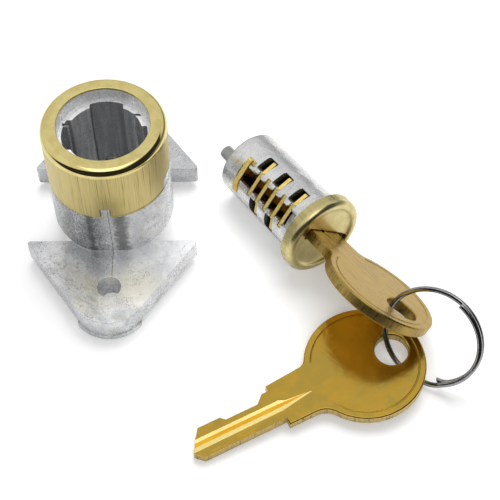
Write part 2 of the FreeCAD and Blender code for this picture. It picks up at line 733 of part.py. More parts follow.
def build_bolt(doc, d, at):
    """The sliding bolt, drawn back, with the slot in which the pin runs."""
    piece = Piece(doc, "bolt")
    half_length = d.base_half_width - d.bolt_inset
    pin_x = -(at.bolt_throw / 2)
    pin_y = d.pin_offset * cosine(d.turn_half_angle)
    half = d.pin_radius + d.pin_clearance
    outline = [
        line_to(half_length, -d.bolt_half_width),
        line_to(half_length, d.bolt_half_width),
        line_to(pin_x + half, d.bolt_half_width),
        line_to(pin_x + half, pin_y),
        arc_to(pin_x - half, pin_y, pin_x, pin_y, left=False),
        line_to(pin_x - half, d.bolt_half_width),
        line_to(-half_length, d.bolt_half_width),
        line_to(-half_length, -d.bolt_half_width),
    ]
    low = d.foot_height + d.bolt_gap
    piece.add("bar", "XY_Plane", [outline], low, low + d.bolt_thickness)
    piece.soften("Fillet", "corners", d.bolt_corner_round, lambda edge, middle: (
        is_upright(edge) and near(middle.x, half_length.value)))
    return piece


def wafer_place(d, number):
    """Where a wafer lies along the plug."""
    return d.wafer_first + number * d.wafer_pitch


def keyway_loop(d):
    """Section of the key's way, with the ward that fills the key's groove."""
    half = d.key_thickness / 2 + d.key_side_gap
    ward = d.key_groove_half_width - d.ward_play
    tip = half - d.key_groove_depth + d.ward_play + d.key_side_gap
    low = -(d.key_heel + d.key_end_gap)
    high = d.key_back + d.key_end_gap
    return [
        line_to(half, low),
        line_to(half, d.key_groove_place - ward),
        line_to(tip, d.key_groove_place),
        line_to(half, d.key_groove_place + ward),
        line_to(half, high),
        line_to(-half, high),
        line_to(-half, low),
    ]


def lobe_loop(d, place):
    """The rounded mouth between two lobes, on both sides of the slit."""
    half = d.wafer_thickness / 2 + d.wafer_gap
    inner = d.slit_half_width
    outer = inner + d.lobe_round
    wide = half + d.lobe_round
    return [
        line_to(inner, place - wide),
        arc_to(outer, place - half, outer, place - wide, left=False),
        line_to(outer, place + half),
        arc_to(inner, place + wide, outer, place + wide, left=False),
        line_to(-inner, place + wide),
        arc_to(-outer, place + half, -outer, place + wide, left=False),
        line_to(-outer, place - half),
        arc_to(-inner, place - wide, -outer, place - wide, left=False),
    ]


def build_plug_core(doc, d, at):
    """The cast core: cylinder, head, eccentric pin, key's way and wafer slots."""
    piece = Piece(doc, "plug_core")
    piece.turn("core", [
        line_to(0, 0),
        line_to(d.plug_radius, 0),
        line_to(d.plug_radius, d.plug_length),
        line_to(at.head_radius, d.plug_length),
        line_to(at.head_radius, at.head_front),
        line_to(0, at.head_front),
    ])
    piece.add("pin", "XY_Plane", [ring_at(0, d.pin_offset, d.pin_radius)], -d.pin_length, Size(0))
    piece.cut("keyway", "XY_Plane", [keyway_loop(d)], at.keyway_end, at.head_front)
    half = d.key_thickness / 2 + d.recess_side_gap
    recess = box_loop(-half, -d.recess_front, half, d.recess_back)
    piece.cut("recess", "XY_Plane", [recess], at.recess_floor, at.head_front)
    cut_wafer_room(piece, d)
    cut_retainer_room(piece, d)
    return piece


def cut_wafer_room(piece, d):
    """The slit above the key, the five wafer slots and their spring chambers."""
    above = d.plug_radius + d.wafer_throw
    slit = box_loop(-d.slit_half_width, d.slit_start, d.slit_half_width, d.slit_end)
    piece.cut("slit", "XZ_Plane", [slit], -d.slit_floor, above)
    half = d.wafer_half_width + d.wafer_gap
    thick = d.wafer_thickness / 2 + d.wafer_gap
    slot = box_loop(-half, d.wafer_first - thick, half, d.wafer_first + thick)
    feature = piece.cut("wafer_slot", "XZ_Plane", [slot], -above, above)
    piece.repeat(feature, "wafer_slots", d.wafer_pitch, len(WAFER_SIDES))
    feature = piece.cut("lobe", "XZ_Plane", [lobe_loop(d, d.wafer_first)], -d.chamber_floor, above)
    piece.repeat(feature, "lobes", d.wafer_pitch, len(WAFER_SIDES))
    for side, name in ((1, "right"), (-1, "left")):
        places = [n for n, wafer_side in enumerate(WAFER_SIDES) if wafer_side == side]
        place = wafer_place(d, places[0])
        near_wall = side * (d.wafer_half_width - d.wafer_gap)
        far_wall = side * d.chamber_reach
        chamber = box_loop(near_wall, place - d.chamber_back, far_wall, place + d.chamber_front)
        feature = piece.cut("chamber_" + name, "XZ_Plane", [chamber], -d.chamber_floor, above)
        piece.repeat(feature, "chambers_" + name, 2 * d.wafer_pitch, len(places))


def cut_retainer_room(piece, d):
    """The slot of the retaining wafer, with room for its arm, tab and spring."""
    above = d.plug_radius + d.wafer_throw
    half = d.retainer_thickness / 2 + d.wafer_gap
    low = d.retainer_place - half
    high = d.retainer_place + half
    left = -(d.retainer_arm + d.wafer_gap)
    right = d.retainer_side + d.wafer_gap
    piece.cut("retainer_slot", "XZ_Plane", [box_loop(left, low, right, high)], -d.retainer_floor, above)
    tab_left = d.retainer_side - d.retainer_tab_thickness - d.wafer_gap
    tab = box_loop(tab_left, d.retainer_place, right, high + d.retainer_tab)
    depth = d.arm_low - d.retainer_throw - d.wafer_gap
    piece.cut("tab_slot", "XZ_Plane", [tab], depth, above)


def build_plug_face(doc, d, at):
    """The dished sheet face over the head, with the key's slot."""
    piece = Piece(doc, "plug_face")
    wall = d.face_wall
    roll_x = d.face_radius - d.face_roll
    roll_z = at.face_front - d.face_roll
    dish = at.face_front - d.face_dish
    start = d.plug_length + d.face_skirt_gap
    inner_x = roll_x - d.face_slope
    piece.turn("shell", [
        line_to(0, dish - wall),
        line_to(inner_x, dish - wall),
        line_to(d.face_radius - wall, dish - wall),
        line_to(d.face_radius - wall, start),
        line_to(d.face_radius, start),
        line_to(d.face_radius, roll_z),
        *roll_steps(roll_x, roll_z, d.face_roll),
        line_to(inner_x, dish),
        line_to(0, dish),
    ])
    half = d.key_thickness / 2 + d.recess_side_gap
    slot = box_loop(-half, -d.recess_front, half, d.recess_back)
    piece.cut("slot", "XY_Plane", [slot], at.head_front, at.face_front)
    return piece


def build_wafer(doc, d, number):
    """One coded wafer: a thin frame round the key with a spring arm on one side."""
    piece = Piece(doc, "wafer_%d" % (number + 1))
    side = WAFER_SIDES[number]
    radius = d.plug_radius - d.wafer_end_gap
    half = d.wafer_half_width
    end = leg(radius, half)
    outline = [
        line_to(side * half, d.arm_low),
        line_to(side * d.arm_reach, d.arm_low),
        line_to(side * d.arm_reach, d.arm_high),
        line_to(side * half, d.arm_high),
        line_to(side * half, end),
        line_to(-side * half, end),
        line_to(-side * half, -end),
        line_to(side * half, -end),
    ]
    window_half = d.key_thickness / 2 + d.window_margin
    low = -(d.key_crown + d.wafer_throw + d.window_play)
    if number in SHALLOW_WAFERS:
        low = low + d.shallow_cut
    high = d.key_back + d.window_play
    window = box_loop(-window_half, low, window_half, high)
    place = wafer_place(d, number)
    thick = d.wafer_thickness / 2
    piece.add("frame", "XY_Plane", [outline, window], place - thick, place + thick)
    return piece


def build_wafer_spring(doc, d, number):
    """The room of one wafer's spring: a thin sleeve under the wafer's arm."""
    piece = Piece(doc, "wafer_spring_%d" % (number + 1))
    x = WAFER_SIDES[number] * (d.arm_reach + d.wafer_half_width) / 2
    z = wafer_place(d, number) - d.spring_place
    sleeve = [ring_at(x, z, d.spring_radius), ring_at(x, z, d.spring_radius - d.spring_wire)]
    piece.add("coil", "XZ_Plane", sleeve, -d.chamber_floor, d.arm_low)
    return piece


def build_retainer(doc, d):
    """The retaining wafer, whose round corners stand out of the plug and hold it in."""
    piece = Piece(doc, "retainer_wafer")
    radius = d.plug_radius + d.retainer_rise
    flat_end = leg(radius, d.retainer_flat)
    bottom = -(d.retainer_floor - d.retainer_throw - d.wafer_gap)
    low = d.retainer_place - d.retainer_thickness / 2
    high = d.retainer_place + d.retainer_thickness / 2
    outline = [
        line_to(d.retainer_side, bottom),
        line_to(d.retainer_side, leg(radius, d.retainer_side)),
        arc_to(flat_end, d.retainer_flat, 0, 0),
        line_to(-flat_end, d.retainer_flat),
        arc_to(-d.retainer_arm, leg(radius, d.retainer_arm), 0, 0),
        line_to(-d.retainer_arm, d.retainer_arm_low),
        line_to(-d.retainer_body, d.retainer_arm_low),
        line_to(-d.retainer_body, bottom),
    ]
    piece.add("plate", "XY_Plane", [outline], low, high)
    tab = box_loop(d.retainer_side - d.retainer_tab_thickness, low, d.retainer_side, high + d.retainer_tab)
    piece.add("tab", "XZ_Plane", [tab], d.arm_low, d.plug_radius - d.retainer_tab_thickness)
    return piece


def build_retainer_spring(doc, d):
    """The room of the retaining wafer's spring: a thin sleeve under its arm."""
    piece = Piece(doc, "retainer_spring")
    x = -(d.retainer_arm + d.retainer_body) / 2
    z = d.retainer_place
    radius = d.retainer_spring_radius
    sleeve = [ring_at(x, z, radius), ring_at(x, z, radius - d.spring_wire)]
    piece.add("coil", "XZ_Plane", sleeve, -d.retainer_floor, d.retainer_arm_low)
    return piece


def bow_fillet(d, edge, radius):
    """Middle of a fillet between a shank edge and the bow, and where it meets the bow."""
    beyond = edge + radius
    x = -leg(d.bow_radius + radius, beyond)
    share = d.bow_radius / (d.bow_radius + radius)
    return x, beyond, x * share, beyond * share


def key_loop(d, at):
    """Outline of a key, from its nose along the cut edge and round the bow."""
    front_x, front_y, front_touch_x, front_touch_y = bow_fillet(d, d.shank_front, d.bow_fillet_front)
    back_x, back_y, back_touch_x, back_touch_y = bow_fillet(d, d.shank_back, d.bow_fillet_back)
    step = d.shoulder_step
    return [
        line_to(-at.key_nose, d.key_crown),
        line_to(-(at.cut_end + d.cut_slope), d.key_crown),
        line_to(-at.cut_end, d.key_cut),
        line_to(-at.cut_start, d.key_cut),
        line_to(-(at.cut_start - d.heel_slope), d.key_heel),
        line_to(-d.key_shoulder, d.key_heel),
        line_to(-d.key_shoulder, d.shank_narrow),
        line_to(front_x, d.shank_front),
        arc_to(front_touch_x, front_touch_y, front_x, front_y),
        arc_to(back_touch_x, -back_touch_y, 0, 0, left=False),
        arc_to(back_x, -d.shank_back, back_x, -back_y),
        line_to(-(d.key_shoulder - step), -d.shank_back),
        line_to(-(d.key_shoulder - step), -d.key_back),
        line_to(-(at.key_tip - 3 * step), -d.key_back),
        line_to(-(at.key_tip - step), -(d.key_back - 2 * step)),
        line_to(-at.key_tip, -d.key_cut),
    ]


def build_key(doc, d, at, name):
    """A flat key: cut blade with one groove, shank and round bow with a hole."""
    piece = Piece(doc, name)
    half = d.key_thickness / 2
    hole = ring_at(d.bow_hole_place, 0, d.bow_hole_radius)
    piece.add("blank", "XY_Plane", [key_loop(d, at), hole], -half, half)
    piece.soften("Chamfer", "edges", d.key_edge_break, lambda edge, middle: (
        near(abs(middle.z), half.value) and middle.x > -d.key_shoulder.value))
    depth = half - d.key_groove_depth
    over = half + d.key_edge_break
    widen = d.key_groove_half_width * (d.key_groove_depth + d.key_edge_break) / d.key_groove_depth
    groove = [
        line_to(-d.key_groove_place, depth),
        line_to(-d.key_groove_place + widen, over),
        line_to(-d.key_groove_place - widen, over),
    ]
    piece.cut("groove", "YZ_Plane", [groove], -(at.key_tip + half), -d.key_groove_end)
    piece.cut("rim_line", "XY_Plane", [rim_line_loop(d)], half - d.rim_line_depth, over)
    return piece


def rim_line_loop(d):
    """The fine line round the bow's face, open towards the shank."""
    outer = d.bow_radius - d.rim_line_inset
    inner = outer - d.rim_line_width
    edge = d.shank_back
    return [
        line_to(-leg(outer, edge), -edge),
        arc_to(-leg(outer, edge), edge, 0, 0),
        line_to(-leg(inner, edge), edge),
        arc_to(-leg(inner, edge), -edge, 0, 0, left=False),
    ]


def biarc(start, start_way, end, end_way):
    """Two arcs that join two points and leave and reach them in the given directions."""
    gap = end - start
    both = start_way + end_way
    a = 4 - both.dot(both)
    b = 2 * gap.dot(both)
    c = -gap.dot(gap)
    reach = -c / b if abs(a) < 1e-9 else (-b + math.sqrt(b * b - 4 * a * c)) / (2 * a)
    first = start + start_way * reach
    last = end - end_way * reach
    middle = (first + last) / 2
    way = (last - first).normalize()
    return [tangent_arc(start, first, middle, start_way, way),
            tangent_arc(middle, last, end, way, end_way)]


def tangent_arc(start, corner, end, start_way, end_way):
    """The arc that leaves start, reaches end and has its tangents cross at the corner."""
    half_turn = start_way.getAngle(end_way) / 2
    radius = start.distanceToPoint(corner) / math.tan(half_turn)
    inward = (end_way - start_way).normalize()
    return Part.Arc(start, corner + inward * (radius / math.cos(half_turn) - radius), end).toShape()


def ring_point(d, angle):
    """Point and direction of the ring's wire at an angle from its start, in degrees."""
    overlap = d.ring_overlap.value
    single = 360 - overlap
    pitch = d.ring_wire.value + d.ring_turn_gap.value
    share = min(max((angle - overlap) / single, 0), 1)
    height = pitch * (share * share * (3 - 2 * share) - 0.5)
    climb = pitch * 6 * share * (1 - share) / math.radians(single)
    turn = math.radians(angle + d.ring_start.value)
    radius = d.ring_radius.value
    point = Vector(radius * math.cos(turn), radius * math.sin(turn), height)
    way = Vector(-radius * math.sin(turn), radius * math.cos(turn), climb).normalize()
    return point, way


def ring_angles(d):
    """Where the wire's pieces meet: the two flat laps and the climb between them."""
    overlap = d.ring_overlap.value
    flat = [overlap * n / 2 for n in range(3)]
    climb = [overlap + (360 - overlap) * n / 4 for n in range(1, 4)]
    return flat + climb + [360 + angle for angle in flat]


def build_split_ring(doc, d, place):
    """The split ring: one wire whose two ends lie side by side over part of the turn."""
    knots = [ring_point(d, angle) for angle in ring_angles(d)]
    edges = []
    for (start, start_way), (end, end_way) in zip(knots, knots[1:]):
        edges += biarc(start, start_way, end, end_way)
    path = Part.Wire(edges)
    tube = path.makePipeShell([wire_section(d, *knots[0])], True, False)
    report_ring(d, path, tube)
    feature = doc.addObject("Part::Feature", "split_ring")
    feature.Label = "split_ring"
    feature.Shape = tube
    feature.Placement = place
    return feature


def wire_section(d, start, way):
    """Outline of the ring's wire where it starts, with flats as fine as the wire needs."""
    across = Vector(start.x, start.y, 0).normalize() * (d.ring_wire.value / 2)
    turn = 360 / WIRE_SIDES
    corners = [start + Rotation(way, turn * n).multVec(across) for n in range(WIRE_SIDES)]
    return Part.makePolygon(corners + corners[:1])


def report_ring(d, path, tube):
    """Print how near the wire comes to itself, and its volume against its length."""
    points = path.discretize(240)
    step = path.Length / (len(points) - 1)
    apart = int(d.ring_radius.value * math.pi / 2 / step)
    nearest = min(points[i].distanceToPoint(points[j])
                  for i in range(len(points)) for j in range(i + apart, len(points)))
    section = WIRE_SIDES / 2 * math.sin(2 * math.pi / WIRE_SIDES) * d.ring_wire.value ** 2 / 4
    print("split ring: least gap to itself %.3f mm" % (nearest - d.ring_wire.value))
    print("split ring: volume / (section x length) %.4f" % (tube.Volume / (section * path.Length)))


def frame_placement(origin, x_way, y_way, z_way):
    """Placement whose axes point along three directions of the room."""
    return Placement(origin, Rotation(x_way, y_way, z_way, "ZXY"))


def plug_placement(d):
    """The plug lies on its rear edge and on the rim of its head."""
    run = d.plug_length.value + d.face_skirt_gap.value
    tilt = math.atan2(d.face_radius.value - d.plug_radius.value, run)
    azimuth = math.radians(d.plug_azimuth.value)
    roll = math.radians(d.plug_roll.value)
    along = Vector(math.cos(azimuth) * math.cos(tilt), math.sin(azimuth) * math.cos(tilt), math.sin(tilt))
    level = Vector(-math.sin(azimuth), math.cos(azimuth), 0)
    up = along.cross(level)
    wafer_way = up * math.cos(roll) - level * math.sin(roll)
    face_way = up * math.sin(roll) + level * math.cos(roll)
    origin = Vector(d.plug_x.value, d.plug_y.value, d.plug_radius.value * math.cos(tilt))
    return frame_placement(origin, face_way, wafer_way, along)


def key_1_placement(plug, at):
    """The first key stands in the plug as far as its shoulder lets it."""
    seat = Placement(Vector(0, 0, at.bow_place.value),
                     Rotation(Vector(0, 0, 1), Vector(0, -1, 0), Vector(1, 0, 0), "ZXY"))
    return plug.multiply(seat)


def key_2_placement(d, at, ring):
    """The second key lies on its tip, with its bow held up by the ring."""
    azimuth = math.radians(d.key_2_azimuth.value)
    tilt = math.radians(d.key_2_tilt.value)
    along = Vector(math.cos(azimuth) * math.cos(tilt), math.sin(azimuth) * math.cos(tilt), math.sin(tilt))
    across = Vector(-math.sin(azimuth), math.cos(azimuth), 0)
    half = d.key_thickness.value / 2
    height = half * math.cos(tilt) + at.key_tip.value * math.sin(tilt)
    origin = Vector(ring.Base.x + d.key_2_from_ring_x.value, ring.Base.y + d.key_2_from_ring_y.value, height)
    return frame_placement(origin, along, across, along.cross(across))


def ring_placement(d, key_1):
    """The ring leans on the ground and passes through the hole of the first key."""
    azimuth = math.radians(d.ring_azimuth.value)
    lean = math.radians(d.ring_lean.value)
    axis = Vector(math.cos(azimuth) * math.sin(lean), math.sin(azimuth) * math.sin(lean), math.cos(lean))
    level = Vector(-math.sin(azimuth), math.cos(azimuth), 0)
    leaning = frame_placement(Vector(0, 0, 0), level, axis.cross(level), axis)
    whole_wire = range(int(360 + d.ring_overlap.value))
    lowest = min(leaning.multVec(ring_point(d, angle)[0]).z for angle in whole_wire)
    height = d.ring_ground_gap.value + d.ring_wire.value / 2 - lowest
    hole = key_1.multVec(Vector(d.bow_hole_place.value, 0, 0))
    origin = Vector(hole.x + d.ring_from_hole_x.value, hole.y + d.ring_from_hole_y.value, height)
    return Placement(origin, leaning.Rotation)


def build(doc):
    """Build every piece in its place and return the document objects to keep."""
    d = Sheet(doc, SIZES)
    at = Levels(d)
    plug = plug_placement(d)
    standing = [
        build_housing(doc, d, at),
        build_trim_cap(doc, d, at),
        build_bolt_cover(doc, d),
        build_bolt(doc, d, at),
    ]
    in_plug = [build_plug_core(doc, d, at), build_plug_face(doc, d, at)]
    in_plug += [build_wafer(doc, d, number) for number in range(len(WAFER_SIDES))]
    in_plug += [build_wafer_spring(doc, d, number) for number in range(len(WAFER_SIDES))]
    in_plug += [build_retainer(doc, d), build_retainer_spring(doc, d)]
    for piece in in_plug:
        piece.body.Placement = plug
    key_1 = build_key(doc, d, at, "key_1")
    key_1.body.Placement = key_1_placement(plug, at)
    ring_place = ring_placement(d, key_1.body.Placement)
    ring = build_split_ring(doc, d, ring_place)
    key_2 = build_key(doc, d, at, "key_2")
    key_2.body.Placement = key_2_placement(d, at, ring_place)
    doc.recompute()
    return [piece.body for piece in standing + in_plug + [key_1, key_2]] + [ring]


def check(doc, kept):
    """Stop if an object failed or a kept shape is missing, invalid or not one solid."""
    for thing in doc.Objects:
        if "Invalid" in thing.State or "Error" in thing.State:
            raise RuntimeError("%s is in state %s" % (thing.Name, thing.State))
    for thing in kept:
        shape = thing.Shape
        if shape.isNull() or not shape.isValid() or len(shape.Solids) != 1:
            raise RuntimeError("%s has no single valid solid" % thing.Label)


def main():
    doc = FreeCAD.newDocument("DrawerLock")
    kept = build(doc)
    check(doc, kept)
    os.makedirs("parts", exist_ok=True)
    for thing in kept:
        thing.Shape.exportStep("parts/%s.step" % thing.Label)
        box = thing.Shape.BoundBox
        print("%-18s volume %9.2f  x %7.2f %7.2f  y %7.2f %7.2f  z %6.2f %6.2f" % (
            thing.Label, thing.Shape.Volume, box.XMin, box.XMax, box.YMin, box.YMax, box.ZMin, box.ZMax))


main()
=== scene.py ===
"""Finish, studio and camera for a drawer lock whose plug has been taken out.

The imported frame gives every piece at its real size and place. Here each piece gets rounded edges,
its metal and its wear, and the sheet, wire and spring pieces are made again in their full form.
Lengths in the classes are millimetres; meshes are made in metres.
"""

import json
import logging
import math
from dataclasses import dataclass, field, replace
from enum import Enum
from typing import Callable, Optional, Sequence, Union

import bmesh
import bpy
from mathutils import Matrix, Vector

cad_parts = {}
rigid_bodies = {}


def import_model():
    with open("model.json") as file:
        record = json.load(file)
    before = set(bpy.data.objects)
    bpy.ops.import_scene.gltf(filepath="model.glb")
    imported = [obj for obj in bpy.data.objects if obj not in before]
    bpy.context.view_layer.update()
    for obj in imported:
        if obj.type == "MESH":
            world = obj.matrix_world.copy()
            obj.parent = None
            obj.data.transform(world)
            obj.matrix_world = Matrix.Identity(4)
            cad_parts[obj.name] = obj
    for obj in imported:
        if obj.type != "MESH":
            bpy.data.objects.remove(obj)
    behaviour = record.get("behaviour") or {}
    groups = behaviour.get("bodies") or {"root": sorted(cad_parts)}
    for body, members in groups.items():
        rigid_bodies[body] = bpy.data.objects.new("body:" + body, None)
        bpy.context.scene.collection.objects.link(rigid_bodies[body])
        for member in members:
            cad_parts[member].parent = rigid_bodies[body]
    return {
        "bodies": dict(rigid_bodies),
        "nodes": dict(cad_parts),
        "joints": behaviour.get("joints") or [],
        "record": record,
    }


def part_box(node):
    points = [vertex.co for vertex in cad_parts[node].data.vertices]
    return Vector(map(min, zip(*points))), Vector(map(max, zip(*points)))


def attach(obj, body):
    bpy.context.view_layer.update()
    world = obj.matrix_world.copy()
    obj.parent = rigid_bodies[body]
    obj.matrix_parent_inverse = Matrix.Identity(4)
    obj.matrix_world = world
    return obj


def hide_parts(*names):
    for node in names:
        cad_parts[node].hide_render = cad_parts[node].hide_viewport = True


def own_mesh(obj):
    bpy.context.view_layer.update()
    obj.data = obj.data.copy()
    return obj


MM = 0.001
WELD = 0.0005 * MM
PLANE_REACH = 0.002 * MM
FLAT_ANGLE = math.radians(0.4)
SHEET_CORNER = 50.0
LOG = logging.getLogger("drawer_lock")

Socket = bpy.types.NodeSocket
Number = Union[float, Socket]
Colour = tuple[float, float, float]
Vertex = tuple[float, float, float]
Pair = tuple[float, float]


@dataclass(frozen=True)
class Place:
    """An origin and three square directions in the room, in millimetres."""

    origin: Vector = field(default_factory=lambda: Vector((0, 0, 0)))
    across: Vector = field(default_factory=lambda: Vector((1, 0, 0)))
    beside: Vector = field(default_factory=lambda: Vector((0, 1, 0)))
    along: Vector = field(default_factory=lambda: Vector((0, 0, 1)))

    def turn(self) -> Matrix:
        """Rotation whose columns are the three directions."""
        return Matrix((self.across, self.beside, self.along)).transposed()

    def matrix(self) -> Matrix:
        """Transform from the place's own millimetres to the room's metres."""
        turned = self.turn().to_4x4()
        return Matrix.Translation(self.origin * MM) @ turned @ Matrix.Scale(MM, 4)

    def point(self, x: float, y: float, z: float) -> Vector:
        """A point of this place in the room's millimetres."""
        return self.origin + self.across * x + self.beside * y + self.along * z


class Side(Enum):
    """Which side of a piece a face belongs to."""

    FACE = 0
    EDGE = 1
    GROOVE = 2
    FLANK = 3


class Shader:
    """The node tree of a material or of the world; each method adds a node and returns its output."""

    def __init__(self, owner: Union[bpy.types.Material, bpy.types.World]) -> None:
        """Empty the owner's tree.

        Args:
            owner: The material or the world.
        """
        owner.use_nodes = True
        self.owner = owner
        self.tree = owner.node_tree
        self.tree.nodes.clear()

    def node(self, kind: str, **settings: object) -> bpy.types.Node:
        """Add a node.

        Args:
            kind: Blender's name of the node type.
            settings: Properties of the node to set.

        Returns:
            The new node.
        """
        made = self.tree.nodes.new(kind)
        for key, value in settings.items():
            setattr(made, key, value)
        return made

    def feed(self, target: Socket, value: object) -> None:
        """Link a socket, or set its value where a plain number or colour is given.

        Args:
            target: Input socket.
            value: Output socket, number, or sequence of numbers.
        """
        if isinstance(value, bpy.types.NodeSocket):
            self.tree.links.new(value, target)
        elif target.type == "RGBA" and len(value) == 3:
            target.default_value = (*value, 1.0)
        else:
            target.default_value = value

    def place(self, where: Place, stretch: Vertex = (1, 1, 1)) -> Socket:
        """Coordinates of a place in millimetres.

        Args:
            where: The place whose axes the pattern follows.
            stretch: How much longer the pattern is along each axis.

        Returns:
            Vector output.
        """
        coordinates = self.node("ShaderNodeTexCoord").outputs["Object"]
        mapping = self.node("ShaderNodeMapping", vector_type="TEXTURE")
        self.feed(mapping.inputs["Vector"], coordinates)
        self.feed(mapping.inputs["Location"], where.origin * MM)
        self.feed(mapping.inputs["Rotation"], where.turn().to_euler())
        self.feed(mapping.inputs["Scale"], [MM * share for share in stretch])
        return mapping.outputs["Vector"]

    def noise(self, vector: Socket, scale: float, detail: float = 3.0, rough: float = 0.55,
              warp: float = 0.0) -> Socket:
        """Cloudy noise from 0 to 1.

        Args:
            vector: Coordinates.
            scale: Features per unit of the coordinates.
            detail: Number of octaves.
            rough: Share of each finer octave.
            warp: Distortion.

        Returns:
            Value output.
        """
        made = self.node("ShaderNodeTexNoise")
        self.feed(made.inputs["Vector"], vector)
        made.inputs["Scale"].default_value = scale
        made.inputs["Detail"].default_value = detail
        made.inputs["Roughness"].default_value = rough
        made.inputs["Distortion"].default_value = warp
        return made.outputs["Fac"]

    def remap(self, value: Number, low: float, high: float, to_low: float = 0.0,
              to_high: float = 1.0) -> Socket:
        """A value brought from one range to another, eased in and out and held at its ends.

        Args:
            value: Input value.
            low: Input that gives to_low.
            high: Input that gives to_high.
            to_low: Output at the low end.
            to_high: Output at the high end.

        Returns:
            Value output.
        """
        made = self.node("ShaderNodeMapRange", interpolation_type="SMOOTHSTEP")
        for name, number in (("Value", value), ("From Min", low), ("From Max", high),
                             ("To Min", to_low), ("To Max", to_high)):
            self.feed(made.inputs[name], number)
        return made.outputs["Result"]

    def maths(self, operation: str, first: Number, second: Number = 0.0) -> Socket:
        """Arithmetic on one or two values.

        Args:
            operation: Blender's name of the operation.
            first: First value.
            second: Second value.

        Returns:
            Value output.
        """
        made = self.node("ShaderNodeMath", operation=operation)
        self.feed(made.inputs[0], first)
        self.feed(made.inputs[1], second)
        return made.outputs["Value"]

    def parts(self, vector: Socket) -> tuple[Socket, Socket, Socket]:
        """The three numbers of a vector.

        Args:
            vector: Vector output.

        Returns:
            Its x, y and z.
        """
        made = self.node("ShaderNodeSeparateXYZ")
        self.feed(made.inputs[0], vector)
        return made.outputs["X"], made.outputs["Y"], made.outputs["Z"]

    def times(self, first: Number, *others: Number) -> Socket:
        """Product of several values."""
        for other in others:
            first = self.maths("MULTIPLY", first, other)
        return first

    def radius(self, x: Socket, y: Socket) -> Socket:
        """Distance of a point from the middle, from two of its coordinates."""
        return self.maths("SQRT", self.maths("ADD", self.times(x, x), self.times(y, y)))

    def distance(self, value: Socket, middle: float) -> Socket:
        """How far a value is from a number."""
        return self.maths("ABSOLUTE", self.maths("SUBTRACT", value, middle))

    def mix(self, share: Number, first: object, second: object) -> Socket:
        """Blend of two colours.

        Args:
            share: How much of the second colour.
            first: First colour.
            second: Second colour.

        Returns:
            Colour output.
        """
        made = self.node("ShaderNodeMix", data_type="RGBA")
        self.feed(made.inputs["Factor"], share)
        self.feed(made.inputs[6], first)
        self.feed(made.inputs[7], second)
        return made.outputs[2]

    def blend(self, share: Number, first: Number, second: Number) -> Socket:
        """Blend of two values.

        Args:
            share: How much of the second value.
            first: First value.
            second: Second value.

        Returns:
            Value output.
        """
        made = self.node("ShaderNodeMix", data_type="FLOAT")
        self.feed(made.inputs["Factor"], share)
        self.feed(made.inputs[2], first)
        self.feed(made.inputs[3], second)
        return made.outputs[0]

    def bump(self, height: Socket, depth: float, before: Optional[Socket] = None) -> Socket:
        """Normal of a surface with relief.

        Args:
            height: Relief from 0 to 1.
            depth: Height of the relief in millimetres.
            before: Normal to add the relief to.

        Returns:
            Normal output.
        """
        made = self.node("ShaderNodeBump")
        self.feed(made.inputs["Height"], height)
        made.inputs["Distance"].default_value = depth * MM
        if before is not None:
            self.feed(made.inputs["Normal"], before)
        return made.outputs["Normal"]

    def metal(self, colour: object, roughness: Number, normal: Optional[Socket] = None,
              metallic: Number = 1.0) -> bpy.types.Material:
        """End the tree in a metal surface.

        Args:
            colour: Base colour.
            roughness: Roughness.
            normal: Normal with relief.
            metallic: Share of bare metal.

        Returns:
            The finished material.
        """
        surface = self.node("ShaderNodeBsdfPrincipled")
        self.feed(surface.inputs["Base Color"], colour)
        self.feed(surface.inputs["Roughness"], roughness)
        self.feed(surface.inputs["Metallic"], metallic)
        if normal is not None:
            self.feed(surface.inputs["Normal"], normal)
        output = self.node("ShaderNodeOutputMaterial")
        self.tree.links.new(surface.outputs["BSDF"], output.inputs["Surface"])
        return self.owner


